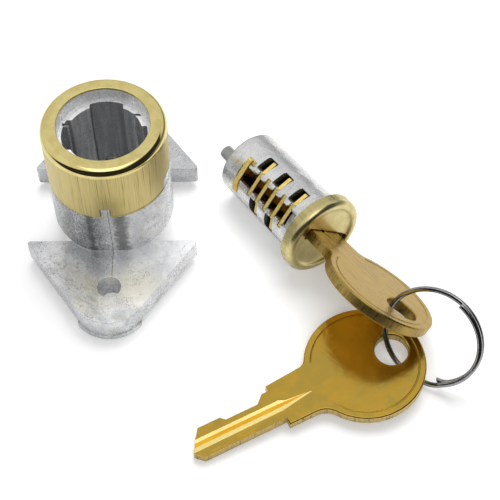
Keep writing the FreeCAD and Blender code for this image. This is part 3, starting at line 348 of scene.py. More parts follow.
@dataclass(frozen=True)
class CastZinc:
    """Bare zinc die casting: an uneven bright skin, pits, dark specks and faint yellow stains."""

    name: str
    where: Place = field(default_factory=Place)
    light: Colour = (0.98, 0.99, 1.0)
    dark: Colour = (0.68, 0.7, 0.72)
    soot: Colour = (0.07, 0.07, 0.065)
    stain: Colour = (0.74, 0.68, 0.5)
    stained: float = 0.4
    roughness: float = 0.21
    metallic: float = 0.62
    pitted: float = 0.8
    pit_depth: float = 0.05
    uneven: float = 1.0

    def build(self) -> bpy.types.Material:
        """Make the material.

        Returns:
            The finished material.
        """
        shade = Shader(bpy.data.materials.new(self.name))
        room = shade.place(self.where)
        clouds = shade.noise(room, 0.17, 3.0, 0.5, 0.8)
        mottle = shade.noise(room, 1.3, 4.0, 0.62)
        grain = shade.noise(room, 5.0, 4.0, 0.65)
        tone = shade.blend(0.35, shade.remap(clouds, 0.4, 0.62), shade.remap(mottle, 0.34, 0.66))
        colour = shade.mix(tone, self.dark, self.light)
        yellow = shade.remap(shade.noise(room, 0.24, 3.0, 0.55, 1.0), 0.56, 0.7)
        colour = shade.mix(shade.times(yellow, self.stained), colour, self.stain)
        colour = self.outside_marks_and_light(shade, colour, mottle, grain)
        patch = shade.remap(shade.noise(room, 0.33, 3.0, 0.6, 1.2), 0.47, 0.6)
        crumbs = shade.remap(shade.noise(room, 4.4, 4.0, 0.7, 0.4), 0.56, 0.64)
        holes = shade.times(crumbs, patch, self.pitted)
        colour = shade.mix(holes, colour, self.soot)
        roughness = shade.remap(mottle, 0.34, 0.66, self.roughness + 0.1, self.roughness - 0.06)
        colour, roughness, metallic = self.line_inside(shade, colour, roughness)
        relief = shade.bump(clouds, 0.3 * self.uneven)
        relief = shade.bump(mottle, 0.045 * self.uneven, relief)
        relief = shade.bump(grain, 0.016 * self.uneven, relief)
        relief = shade.bump(shade.maths("SUBTRACT", 1.0, holes), self.pit_depth, relief)
        return shade.metal(colour, roughness, relief, metallic)

    def outside_marks_and_light(self, shade: Shader, colour: Socket, mottle: Socket, grain: Socket) -> Socket:
        """Marks, and painted light or shade, on the outside; a plain casting has none."""
        return colour

    def line_inside(self, shade: Shader, colour: Socket, roughness: Socket) -> tuple[Socket, Socket, Number]:
        """Finish and painted shade, mostly inside the casting; a plain casting has the same one everywhere.
        """
        return colour, roughness, self.metallic


@dataclass(frozen=True)
class HousingZinc(CastZinc):
    """The housing's casting: darker bands and specks on its barrel, a painted shine on its front ear, painted
    shade on its back ear and in its bore's slots, a rubbed right side, a parting line and a worn bore.

    The ranges are heights, or places across or along the housing, from where a mark has no strength to
    where it has all of it.
    """

    uneven: float = 0.5
    barrel_darkening: float = 0.9
    # Darker vertical bands on the barrel's front: middle, width and strength of each.
    dark_bands: tuple[Vertex, ...] = ((-3.2, 1.1, 0.95), (2.3, 2.0, 0.9), (-7.5, 2.2, 0.5))
    dark_band_colour: Colour = (0.11, 0.115, 0.115)
    waviness: float = 2.6
    speckled: Pair = (1.0, -3.0)
    on_barrel: Pair = (5.3, 5.7)
    barrel_front: Pair = (-1.0, -5.0)
    on_ears: Pair = (5.2, 5.4)
    # Colour, middle, reach and strength of a painted shine on the front ear.
    painted_shine: Colour = (1.0, 0.95, 0.78)
    painted_shine_at: Pair = (5.0, -18.5)
    painted_shine_reach: Pair = (6.5, 1.0)
    painted_shine_share: float = 0.6
    shade_behind: Colour = (0.5, 0.51, 0.52)
    behind: Pair = (4.0, 9.0)
    under_barrel: Pair = (6.0, 5.6)
    behind_share: float = 0.7
    parting: float = 0.35
    parting_width: Pair = (0.09, 0.04)
    parting_front: Pair = (-17.5, -15.0)
    parting_back: Pair = (-9.0, -9.5)
    parting_share: float = 0.7
    rubbed_right: Pair = (-2.5, 3.5)
    rubbed_front: Pair = (-3.0, -7.0)
    rubbed_metallic: float = 0.15
    bore_radius: float = 8.25
    bore_colours: tuple[Colour, Colour] = ((0.66, 0.68, 0.69), (1.0, 1.0, 1.0))
    bore_roughness: Pair = (0.42, 0.26)
    bore_metallic: float = 0.75
    slot_radius: Pair = (6.8, 7.0)
    # Colour and strength of the painted shade in the bore's slots.
    slot_shade_colour: Colour = (0.22, 0.23, 0.24)
    slot_shade_share: float = 0.55
    under_ledge: Pair = (26.0, 25.8)
    ledge: Pair = (25.9, 26.0)
    ledge_colours: tuple[Colour, Colour] = ((0.8, 0.81, 0.81), (1.0, 1.0, 1.0))
    ledge_metallic: float = 0.3

    def outside_marks_and_light(self, shade: Shader, colour: Socket, mottle: Socket, grain: Socket) -> Socket:
        """Darken bands on the barrel, paint a shine on the front ear and shade on the back ear, draw the
        parting line.

        Args:
            shade: The material's builder.
            colour: Colour so far.
            mottle: Fine clouds from 0 to 1.
            grain: Fine noise from 0 to 1.

        Returns:
            Colour output.
        """
        x, y, z = shade.parts(shade.place(self.where))
        wavy = shade.maths("ADD", x, shade.times(shade.maths("SUBTRACT", mottle, 0.5), self.waviness))
        share = shade.times(shade.remap(grain, 0.42, 0.54, 0.1, 0.95), shade.remap(x, *self.speckled))
        # Darker vertical bands across the barrel's front, joined with the darker specks on its left.
        for middle, width, dark in self.dark_bands:
            dark_band = shade.remap(shade.distance(wavy, middle), width, width * 0.2, 0.0, dark)
            share = shade.maths("MAXIMUM", share, dark_band)
        barrel = shade.times(shade.remap(z, *self.on_barrel), shade.remap(y, *self.barrel_front))
        colour = shade.mix(shade.times(share, barrel, self.barrel_darkening), colour, self.dark_band_colour)
        # Painted shine: a pale yellow highlight on the front ear, right of the hole, fading away from its
        # middle.
        painted_shine_x, painted_shine_y = self.painted_shine_at
        away = shade.radius(shade.maths("SUBTRACT", x, painted_shine_x), shade.maths("SUBTRACT", y, painted_shine_y))
        painted_shine = shade.times(shade.remap(away, *self.painted_shine_reach), shade.remap(z, *self.on_ears),
                            self.painted_shine_share)
        colour = shade.mix(painted_shine, colour, self.painted_shine)
        behind = shade.times(shade.remap(y, *self.behind), shade.remap(z, *self.under_barrel),
                             self.behind_share)
        colour = shade.mix(behind, colour, self.shade_behind)
        line = shade.times(shade.remap(shade.distance(x, self.parting), *self.parting_width),
                           shade.remap(y, *self.parting_front), shade.remap(y, *self.parting_back),
                           self.parting_share)
        return shade.mix(line, colour, self.soot)

    def line_inside(self, shade: Shader, colour: Socket, roughness: Socket) -> tuple[Socket, Socket, Number]:
        """Rub the right side paler, draw marks that run down the bore's wall and paint shade into its slots.

        Args:
            shade: The material's builder.
            colour: Colour so far.
            roughness: Roughness so far.

        Returns:
            Colour, roughness and share of bare metal.
        """
        room = shade.place(self.where)
        x, y, z = shade.parts(room)
        rubbed = shade.times(shade.remap(x, *self.rubbed_right), shade.remap(y, *self.rubbed_front),
                             shade.remap(z, *self.on_ears))
        metallic = shade.blend(rubbed, self.metallic, self.rubbed_metallic)
        away = shade.radius(x, y)
        inside = shade.remap(away, self.bore_radius + 0.1, self.bore_radius - 0.1)
        streak = shade.noise(shade.place(self.where, (1, 1, 14)), 1.0, 4.0, 0.6)
        fleck = shade.noise(room, 2.2, 4.0, 0.65)
        worn = shade.mix(shade.remap(shade.blend(0.4, streak, fleck), 0.4, 0.6), *self.bore_colours)
        # Painted shade: the deeper walls of the bore's slots, below the ledge, are darkened.
        slot = shade.times(shade.remap(away, *self.slot_radius), shade.remap(z, *self.under_ledge),
                           self.slot_shade_share)
        worn = shade.mix(slot, worn, self.slot_shade_colour)
        ledge = shade.times(inside, shade.remap(z, *self.ledge))
        worn = shade.mix(ledge, worn, shade.mix(shade.remap(fleck, 0.4, 0.6), *self.ledge_colours))
        return (shade.mix(inside, colour, worn),
                shade.blend(inside, roughness, shade.remap(streak, 0.3, 0.7, *self.bore_roughness)),
                shade.blend(ledge, shade.blend(inside, metallic, self.bore_metallic), self.ledge_metallic))


@dataclass(frozen=True)
class PlugZinc(CastZinc):
    """The plug's casting: a greyer skin, with painted shade in the chambers under it and on its rear end."""

    light: Colour = (0.84, 0.84, 0.83)
    dark: Colour = (0.64, 0.65, 0.65)
    roughness: float = 0.24
    metallic: float = 0.92
    pitted: float = 0.3
    uneven: float = 0.7
    chamber_radius: Pair = (5.95, 4.95)
    chamber_start: Pair = (1.0, 2.5)
    # Colours of the painted shade in the chambers and on the rear end.
    chamber_shade: Colour = (0.09, 0.06, 0.045)
    rear_end: Pair = (0.35, 0.1)
    rear: Colour = (0.2, 0.2, 0.17)
    rear_shade_share: float = 0.6

    def line_inside(self, shade: Shader, colour: Socket, roughness: Socket) -> tuple[Socket, Socket, Number]:
        """Paint shade into the chambers and onto the rear end.

        Args:
            shade: The material's builder.
            colour: Colour so far.
            roughness: Roughness so far.

        Returns:
            Colour, roughness and share of bare metal.
        """
        x, y, z = shade.parts(shade.place(self.where))
        # Painted shade: the chambers inside the plug's skin are darkened, from a little way past the rear
        # end.
        deep = shade.times(shade.remap(shade.radius(x, y), *self.chamber_radius),
                           shade.remap(z, *self.chamber_start))
        colour = shade.mix(deep, colour, self.chamber_shade)
        # Painted shade on the plug's rear end.
        rear_shade = shade.times(shade.remap(z, *self.rear_end), self.rear_shade_share)
        return shade.mix(rear_shade, colour, self.rear), roughness, self.metallic


@dataclass(frozen=True)
class SheetBrass:
    """Satin brass sheet over a round part, brushed along its side and polished on its roll."""

    name: str
    where: Place
    radius: float
    top: float
    roll: float
    colour: Colour = (0.87, 0.74, 0.32)
    worn: Colour = (0.76, 0.63, 0.25)
    side: Colour = (0.66, 0.55, 0.25)
    line: Colour = (0.3, 0.23, 0.07)
    satin: float = 0.26
    brushed: float = 0.42
    polish: float = 0.09
    # Strength, middle and reach of a dark patch on the side's front, a painted reflection in the line colour.
    painted_reflection: float = 0.0
    painted_reflection_at: float = 0.9
    painted_reflection_width: Pair = (3.2, 0.8)
    painted_reflection_height: Pair = (23.5, 19.0)
    painted_reflection_front: Pair = (0.0, -4.0)

    def build(self) -> bpy.types.Material:
        """Make the material.

        Returns:
            The finished material.
        """
        shade = Shader(bpy.data.materials.new(self.name))
        room = shade.place(self.where)
        x, y, z = shade.parts(room)
        away = shade.radius(x, y)
        roll_z, roll_radius = self.top - self.roll, self.radius - self.roll
        on_side = shade.remap(z, roll_z, roll_z - 0.5)
        on_top = shade.remap(away, roll_radius + 0.1, roll_radius - 0.4)
        brushing = shade.noise(shade.place(self.where, (1, 1, 22)), 4.0, 4.0, 0.6)
        fine = shade.noise(shade.place(self.where, (1, 1, 80)), 6.0, 3.0, 0.6)
        bunch = shade.noise(shade.place(self.where, (1, 1, 3)), 0.3, 2.0, 0.5)
        clouds = shade.noise(room, 0.5, 3.0, 0.6)
        colour = shade.mix(shade.remap(clouds, 0.35, 0.7), self.colour, self.worn)
        side = shade.mix(shade.remap(brushing, 0.4, 0.7), self.side, self.worn)
        lines = shade.times(shade.remap(fine, 0.5, 0.66), shade.remap(bunch, 0.42, 0.6, 0.25, 0.85))
        side = shade.mix(lines, side, self.line)
        # Painted reflection: a dark patch on the front of the side, stronger lower down, in the line colour.
        if self.painted_reflection:
            dim = shade.times(shade.remap(shade.distance(x, self.painted_reflection_at), *self.painted_reflection_width),
                              shade.remap(z, *self.painted_reflection_height),
                              shade.remap(y, *self.painted_reflection_front, 0.0, self.painted_reflection))
            side = shade.mix(dim, side, self.line)
        colour = shade.mix(on_side, colour, side)
        polished = shade.maths("SUBTRACT", 1.0, shade.maths("MAXIMUM", on_side, on_top))
        brushed = shade.remap(brushing, 0.3, 0.7, self.brushed - 0.06, self.brushed + 0.08)
        roughness = shade.blend(polished, shade.blend(on_side, self.satin, brushed), self.polish)
        speckle = shade.noise(room, 9.0, 2.0, 0.5)
        relief = shade.bump(shade.times(fine, on_side), 0.012)
        relief = shade.bump(shade.times(speckle, on_top), 0.004, relief)
        return shade.metal(colour, roughness, relief)


@dataclass(frozen=True)
class KeyBrass:
    """Bare key brass, with streaks of wear that run along the key."""

    name: str
    where: Place
    colour: Colour = (0.59, 0.37, 0.055)
    tint: Colour = (0.5, 0.345, 0.065)
    roughness: float = 0.15
    grain: float = 0.006
    edge: Colour = (0.74, 0.56, 0.2)

    def build(self) -> bpy.types.Material:
        """Make the material.

        Returns:
            The finished material.
        """
        shade = Shader(bpy.data.materials.new(self.name))
        room = shade.place(self.where)
        clouds = shade.noise(room, 0.22, 4.0, 0.55, 0.8)
        streaks = shade.noise(shade.place(self.where, (9, 1, 1)), 2.4, 4.0, 0.6)
        fine = shade.noise(room, 11.0, 3.0, 0.6)
        colour = shade.mix(shade.remap(clouds, 0.35, 0.68), self.colour, self.tint)
        wear = shade.blend(0.5, shade.remap(streaks, 0.3, 0.72), shade.remap(clouds, 0.7, 0.3))
        roughness = shade.remap(wear, 0.0, 1.0, self.roughness - 0.07, self.roughness + 0.1)
        relief = shade.bump(fine, self.grain)
        relief = shade.bump(streaks, 0.006, relief)
        relief = shade.bump(clouds, 0.06, relief)
        return shade.metal(colour, roughness, relief)


@dataclass(frozen=True)
class SawnBrass:
    """The blanked edge of a key: bright, torn and dark in lines across the thickness."""

    name: str
    where: Place
    colour: Colour = (0.46, 0.31, 0.09)
    torn: Colour = (0.1, 0.065, 0.018)

    def build(self) -> bpy.types.Material:
        """Make the material.

        Returns:
            The finished material.
        """
        shade = Shader(bpy.data.materials.new(self.name))
        across = shade.noise(shade.place(self.where, (1, 1, 12)), 2.2, 4.0, 0.65)
        fine = shade.noise(shade.place(self.where, (1, 1, 7)), 9.0, 3.0, 0.6)
        spots = shade.noise(shade.place(self.where), 2.6, 3.0, 0.6)
        mark = shade.times(shade.remap(across, 0.47, 0.64), shade.remap(spots, 0.42, 0.62, 0.1, 0.8))
        colour = shade.mix(mark, self.colour, self.torn)
        roughness = shade.remap(fine, 0.3, 0.7, 0.28, 0.5)
        relief = shade.bump(across, 0.05)
        relief = shade.bump(fine, 0.02, relief)
        return shade.metal(colour, roughness, relief)


@dataclass(frozen=True)
class PlainMetal:
    """A small metal part with clouded colour and fine relief."""

    name: str
    colour: Colour
    tint: Colour
    roughness: float
    scale: float = 2.0
    depth: float = 0.01
    where: Place = field(default_factory=Place)
    stretch: Vertex = (1, 1, 1)
    metallic: float = 1.0

    def build(self) -> bpy.types.Material:
        """Make the material.

        Returns:
            The finished material.
        """
        shade = Shader(bpy.data.materials.new(self.name))
        room = shade.place(self.where, self.stretch)
        clouds = shade.noise(room, self.scale, 4.0, 0.6)
        fine = shade.noise(room, self.scale * 6, 3.0, 0.6)
        colour = shade.mix(shade.remap(clouds, 0.35, 0.68), self.colour, self.tint)
        roughness = shade.remap(fine, 0.3, 0.7, self.roughness - 0.06, self.roughness + 0.08)
        return shade.metal(colour, roughness, shade.bump(fine, self.depth), self.metallic)


def give_mesh(name: str, mesh: bpy.types.Mesh,
              materials: Sequence[bpy.types.Material]) -> bpy.types.Object:
    """Put a mesh in the scene as a piece.

    Args:
        name: Name of the piece.
        mesh: Its mesh, in the room's metres.
        materials: Its materials, in the order of the faces' numbers.

    Returns:
        The new object.
    """
    mesh.name = name
    for material in materials:
        mesh.materials.append(material)
    piece = bpy.data.objects.new(name, mesh)
    bpy.context.scene.collection.objects.link(piece)
    return piece


def mesh_from(shape: bmesh.types.BMesh, name: str) -> bpy.types.Mesh:
    """Turn a bmesh into a mesh with smooth faces and free it.

    Args:
        shape: The bmesh; it is used up.
        name: Name of the mesh.

    Returns:
        The mesh.
    """
    mesh = bpy.data.meshes.new(name)
    shape.to_mesh(mesh)
    shape.free()
    mesh.shade_smooth()
    return mesh


def part_faces(shape: bmesh.types.BMesh, at: Vector, normal: Vector,
               faces: Optional[Sequence[bmesh.types.BMFace]] = None) -> None:
    """Divide faces along a plane, with both sides left in place.

    Args:
        shape: The bmesh, in the room's metres.
        at: A point of the plane in millimetres.
        normal: The plane's normal.
        faces: The faces to divide, or none for all of them.
    """
    if faces is None:
        chosen = [*shape.verts, *shape.edges, *shape.faces]
    else:
        divided = set(faces)
        corners = [corner for corner in shape.verts if divided.intersection(corner.link_faces)]
        edges = [edge for edge in shape.edges if divided.intersection(edge.link_faces)]
        chosen = [*corners, *edges, *faces]
    bmesh.ops.bisect_plane(shape, geom=chosen, dist=PLANE_REACH, plane_co=at * MM, plane_no=normal)


def merged_copy(node: bpy.types.Object, where: Place = Place()) -> bmesh.types.BMesh:
    """A joined copy of a frame node, with its flat areas in few faces and none of them a closed ring.

    Args:
        node: The frame's object.
        where: Place whose two upright planes quarter the faces.

    Returns:
        The copy as a bmesh.
    """
    shape = bmesh.new()
    shape.from_mesh(node.data)
    bmesh.ops.remove_doubles(shape, verts=shape.verts, dist=WELD)
    bmesh.ops.dissolve_limit(shape, angle_limit=FLAT_ANGLE, verts=shape.verts, edges=shape.edges,
                             use_dissolve_boundaries=False)
    for normal in (where.across, where.beside):
        part_faces(shape, where.origin, normal)
    return shape


def baked(piece: bpy.types.Object) -> bpy.types.Object:
    """Replace a piece's mesh by the result of its modifiers.

    Args:
        piece: The piece.

    Returns:
        The same piece, with no modifier.
    """
    bpy.context.view_layer.update()
    graph = bpy.context.evaluated_depsgraph_get()
    mesh = bpy.data.meshes.new_from_object(piece.evaluated_get(graph), depsgraph=graph)
    mesh.name = piece.name
    piece.modifiers.clear()
    piece.data = mesh
    return piece


def round_edges(piece: bpy.types.Object, width: float, steps: int = 2,
                bluntest: float = 32.0) -> bpy.types.Object:
    """Round a piece's edges and keep its flat faces flat in the light.

    Args:
        piece: The piece.
        width: Width of the rounding in millimetres.
        steps: Faces across the rounding.
        bluntest: Angle in degrees under which an edge stays as it is.

    Returns:
        The same piece, with its mesh changed.
    """
    bevel = piece.modifiers.new("edges", "BEVEL")
    bevel.width = width * MM
    bevel.segments = steps
    bevel.limit_method = "ANGLE"
    bevel.angle_limit = math.radians(bluntest)
    bevel.use_clamp_overlap = False
    flats = piece.modifiers.new("flats", "WEIGHTED_NORMAL")
    flats.keep_sharp = True
    return baked(piece)


def cut_with(piece: bpy.types.Object, cutter: bmesh.types.BMesh) -> bpy.types.Object:
    """Cut a closed shape out of a piece.

    Args:
        piece: The piece.
        cutter: The closed shape, in the room's metres; it is used up.

    Returns:
        The same piece, with its mesh changed.
    """
    tool = give_mesh("cutter", mesh_from(cutter, "cutter"), [])
    boolean = piece.modifiers.new("cut", "BOOLEAN")
    boolean.object = tool
    boolean.operation = "DIFFERENCE"
    boolean.solver = "EXACT"
    baked(piece)
    bpy.data.objects.remove(tool)
    return piece


def lathe(profile: Sequence[Pair], columns: int, where: Place) -> bmesh.types.BMesh:
    """Turn a closed section about a place's axis.

    Args:
        profile: Radius and height of each point, in millimetres, anticlockwise.
        columns: Number of copies of the section.
        where: The place that holds the axis.

    Returns:
        The closed shape in the room's metres.
    """
    shape = bmesh.new()
    to_room = where.matrix()
    rows = []
    for column in range(columns):
        angle = 2 * math.pi * column / columns
        rows.append([shape.verts.new(to_room @ Vector((r * math.cos(angle), r * math.sin(angle), z)))
                     for r, z in profile])
    for column in range(columns):
        here, there = rows[column], rows[(column + 1) % columns]
        for point in range(len(profile)):
            after = (point + 1) % len(profile)
            shape.faces.new((here[point], there[point], there[after], here[after]))
    bmesh.ops.recalc_face_normals(shape, faces=shape.faces)
    return shape


def block(low: Vertex, high: Vertex, where: Place) -> bmesh.types.BMesh:
    """A closed block between two corners of a place, for cutting.

    Args:
        low: Lowest corner in millimetres.
        high: Highest corner in millimetres.
        where: The place that holds the corners.

    Returns:
        The block in the room's metres.
    """
    shape = bmesh.new()
    size = Vector(high) - Vector(low)
    middle = (Vector(high) + Vector(low)) / 2
    spread = where.matrix() @ Matrix.Translation(middle) @ Matrix.Diagonal((*size, 1.0))
    bmesh.ops.create_cube(shape, size=1.0, matrix=spread)
    bmesh.ops.recalc_face_normals(shape, faces=shape.faces)
    return shape


def arc(centre: Pair, radius: float, start: float, end: float, steps: int) -> list[Pair]:
    """Points of an arc in a section, both ends included.

    Args:
        centre: Middle of the arc.
        radius: Its radius.
        start: First angle in degrees.
        end: Last angle in degrees.
        steps: Number of chords.

    Returns:
        The points.
    """
    angles = [math.radians(start + (end - start) * step / steps) for step in range(steps + 1)]
    return [(centre[0] + radius * math.cos(a), centre[1] + radius * math.sin(a)) for a in angles]


@dataclass
class Frame:
    """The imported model, and the places of the plug, the keys and the ring in it."""

    loaded: dict
    key_2_azimuth: float = 25.96
    bow_place: float = 39.3
    hole_place: float = 5.4
    ring_lean: float = 62.5
    ring_azimuth: float = -126.67
    ring_from_hole: Pair = (5.557, -4.091)
    ring_height: float = 8.515

    def joint(self, name: str) -> dict:
        """The record's joint of this name."""
        return next(joint for joint in self.loaded["joints"] if joint["name"] == name)

    def node(self, name: str) -> bpy.types.Object:
        """The frame's object of this name."""
        return self.loaded["nodes"][name]

    def hole_1(self) -> Vector:
        """Middle of the first key's hole, in millimetres."""
        return Vector(self.joint("ring_swing")["pos_m"]) / MM

    def plug(self) -> Place:
        """The plug: along its axis from its rear end, beside towards its wafer window.

        Returns:
            Its place.
        """
        along = Vector(self.joint("key_draw")["axis"]).normalized()
        beside = -Vector(self.joint("retainer_press")["axis"]).normalized()
        origin = self.hole_1() - along * (self.bow_place + self.hole_place)
        return Place(origin, beside.cross(along), beside, along)

    def key_1(self) -> Place:
        """The key in the plug: across from its tip to its bow, along out of its grooved face."""
        plug = self.plug()
        return Place(plug.point(0, 0, self.bow_place), plug.along, -plug.beside, plug.across)

    def key_2(self) -> Place:
        """The spare key, with the same directions as the first.

        Returns:
            Its place.
        """
        swing = self.joint("key_2_swing")
        along = Vector(swing["axis"]).normalized()
        azimuth = math.radians(self.key_2_azimuth)
        level = Vector((math.cos(azimuth), math.sin(azimuth), 0))
        across = (level - along * level.dot(along)).normalized()
        origin = Vector(swing["pos_m"]) / MM - across * self.hole_place
        return Place(origin, across, along.cross(across), along)

    def ring(self) -> Place:
        """The split ring: along its axis.

        Returns:
            Its place.
        """
        azimuth, lean = math.radians(self.ring_azimuth), math.radians(self.ring_lean)
        along = Vector((math.cos(azimuth) * math.sin(lean), math.sin(azimuth) * math.sin(lean),
                        math.cos(lean)))
        across = Vector((-math.sin(azimuth), math.cos(azimuth), 0))
        hole = self.hole_1()
        origin = Vector((hole.x + self.ring_from_hole[0], hole.y + self.ring_from_hole[1], self.ring_height))
        return Place(origin, across, along.cross(across), along)


@dataclass
class Housing:
    """The standing half of the lock: casting, trim cap, bolt and its cover."""

    frame: Frame
    cap_radius: float = 11.1
    cap_wall: float = 0.42
    cap_roll: float = 1.3
    cap_mouth: float = 8.2
    cap_lip: float = 0.12
    cap_bead: tuple[Pair, ...] = ((0.0, 0.34), (0.07, 0.42), (0.07, 0.5), (0.01, 0.62))
    cap_columns: int = 180
    notch_height: float = 2.4
    notch_half_width: float = 0.95
    side_notch_half_angle: float = 24.0
    bore_radius: float = 8.25
    casting_edge: float = 0.12
    cap_edge: float = 0.06
    bolt_edge: float = 0.15
    cover_edge: float = 0.06

    def build(self) -> list[bpy.types.Object]:
        """Make and dress every piece of the housing.

        Returns:
            The new pieces.
        """
        return [self.casting(), self.trim_cap(), self.bolt(), self.cover()]

    def casting(self) -> bpy.types.Object:
        """The zinc casting with broken edges.

        Returns:
            The new piece.
        """
        zinc = HousingZinc("housing_zinc", bore_radius=self.bore_radius).build()
        shape = merged_copy(self.frame.node("housing"))
        piece = give_mesh("housing_casting", mesh_from(shape, "casting"), [zinc])
        round_edges(piece, self.casting_edge)
        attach(piece, "housing")
        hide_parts("housing")
        return piece

    def cap_section(self, bottom: float, top: float) -> list[Pair]:
        """Section of the cap's sheet: bead, side, roll, mouth and the same inside.

        Args:
            bottom: Height of the cap's lower edge.
            top: Height of its upper side.

        Returns:
            Radius and height of each point.
        """
        wall, roll, lip = self.cap_wall, self.cap_roll, self.cap_lip
        roll_middle = (self.cap_radius - roll, top - roll)
        section = arc((self.cap_radius - lip, bottom + lip), lip, -90, 0, 4)
        section += [(self.cap_radius - inward, bottom + rise) for inward, rise in self.cap_bead]
        section += arc(roll_middle, roll, 0, 90, 14)
        section += arc((self.cap_mouth + lip, top - lip), lip, 90, 180, 4)
        section += [(self.cap_mouth, top - wall)]
        section += arc(roll_middle, roll - wall, 90, 0, 8)
        return [*section, (self.cap_radius - wall, bottom)]

    def trim_cap(self) -> bpy.types.Object:
        """The brass cap, turned from one sheet section and notched for the casting's lugs.

        Returns:
            The new piece.
        """
        low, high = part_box("trim_cap")
        bottom, top = low.z / MM, high.z / MM
        room = Place()
        brass = SheetBrass("cap_brass", room, self.cap_radius, top, self.cap_roll, painted_reflection=0.4).build()
        shape = lathe(self.cap_section(bottom, top), self.cap_columns, room)
        piece = give_mesh("trim_cap_sheet", mesh_from(shape, "cap"), [brass])
        inside = self.cap_radius - self.cap_wall
        half, notch_top = self.notch_half_width, bottom + self.notch_height
        cut_with(piece, block((-half, -self.cap_radius - 1, bottom - 1), (half, -inside + 1, notch_top),
                              room))
        reach = self.cap_radius * math.sin(math.radians(self.side_notch_half_angle))
        cut_with(piece, block((inside - 2, -reach, bottom - 1), (self.cap_radius + 1, reach, notch_top),
                              room))
        round_edges(piece, self.cap_edge, bluntest=SHEET_CORNER)
        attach(piece, "housing")
        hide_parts("trim_cap")
        return piece

    def bolt(self) -> bpy.types.Object:
        """The sliding bolt.

        Returns:
            The new piece.
        """
        zinc = CastZinc("bolt_zinc", pitted=0.2).build()
        shape = merged_copy(self.frame.node("bolt"))
        piece = give_mesh("bolt_casting", mesh_from(shape, "bolt"), [zinc])
        round_edges(piece, self.bolt_edge, 3)
        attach(piece, "bolt")
        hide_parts("bolt")
        return piece

    def cover(self) -> bpy.types.Object:
        """The steel plate under the bolt.

        Returns:
            The new piece.
        """
        steel = PlainMetal("cover_steel", (0.56, 0.57, 0.6), (0.44, 0.46, 0.5), 0.34, 1.2).build()
        shape = merged_copy(self.frame.node("bolt_cover"))
        piece = give_mesh("cover_plate", mesh_from(shape, "cover"), [steel])
        round_edges(piece, self.cover_edge)
        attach(piece, "housing")
        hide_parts("bolt_cover")
        return piece


def copy_of(node: bpy.types.Object, name: str, materials: Sequence[bpy.types.Material], where: Place,
            side_of: Callable[[Vector, Vector], Side] = lambda middle, normal: Side.FACE,
            reshape: Optional[Callable[[bmesh.types.BMesh, Place], None]] = None,
            parted: float = 0.0) -> bpy.types.Object:
    """A merged copy of a frame node as a piece, its faces sorted by side.

    Args:
        node: The frame's object.
        name: Name of the piece.
        materials: Its materials, in the order of the sides.
        where: The piece's own place.
        side_of: Side of a face from its middle and normal in that place.
        reshape: Changes the merged copy before its faces are sorted.
        parted: How far beside its axis the piece's flats are parted, in millimetres.

    Returns:
        The new piece.
    """
    shape = merged_copy(node, replace(where, origin=where.point(0, parted, 0)))
    if reshape:
        reshape(shape, where)
    to_place = where.matrix().inverted()
    turn_back = where.turn().transposed()
    for face in shape.faces:
        side = side_of(to_place @ face.calc_center_median(), turn_back @ face.normal)
        face.material_index = min(side.value, len(materials) - 1)
    return give_mesh(name, mesh_from(shape, name), materials)


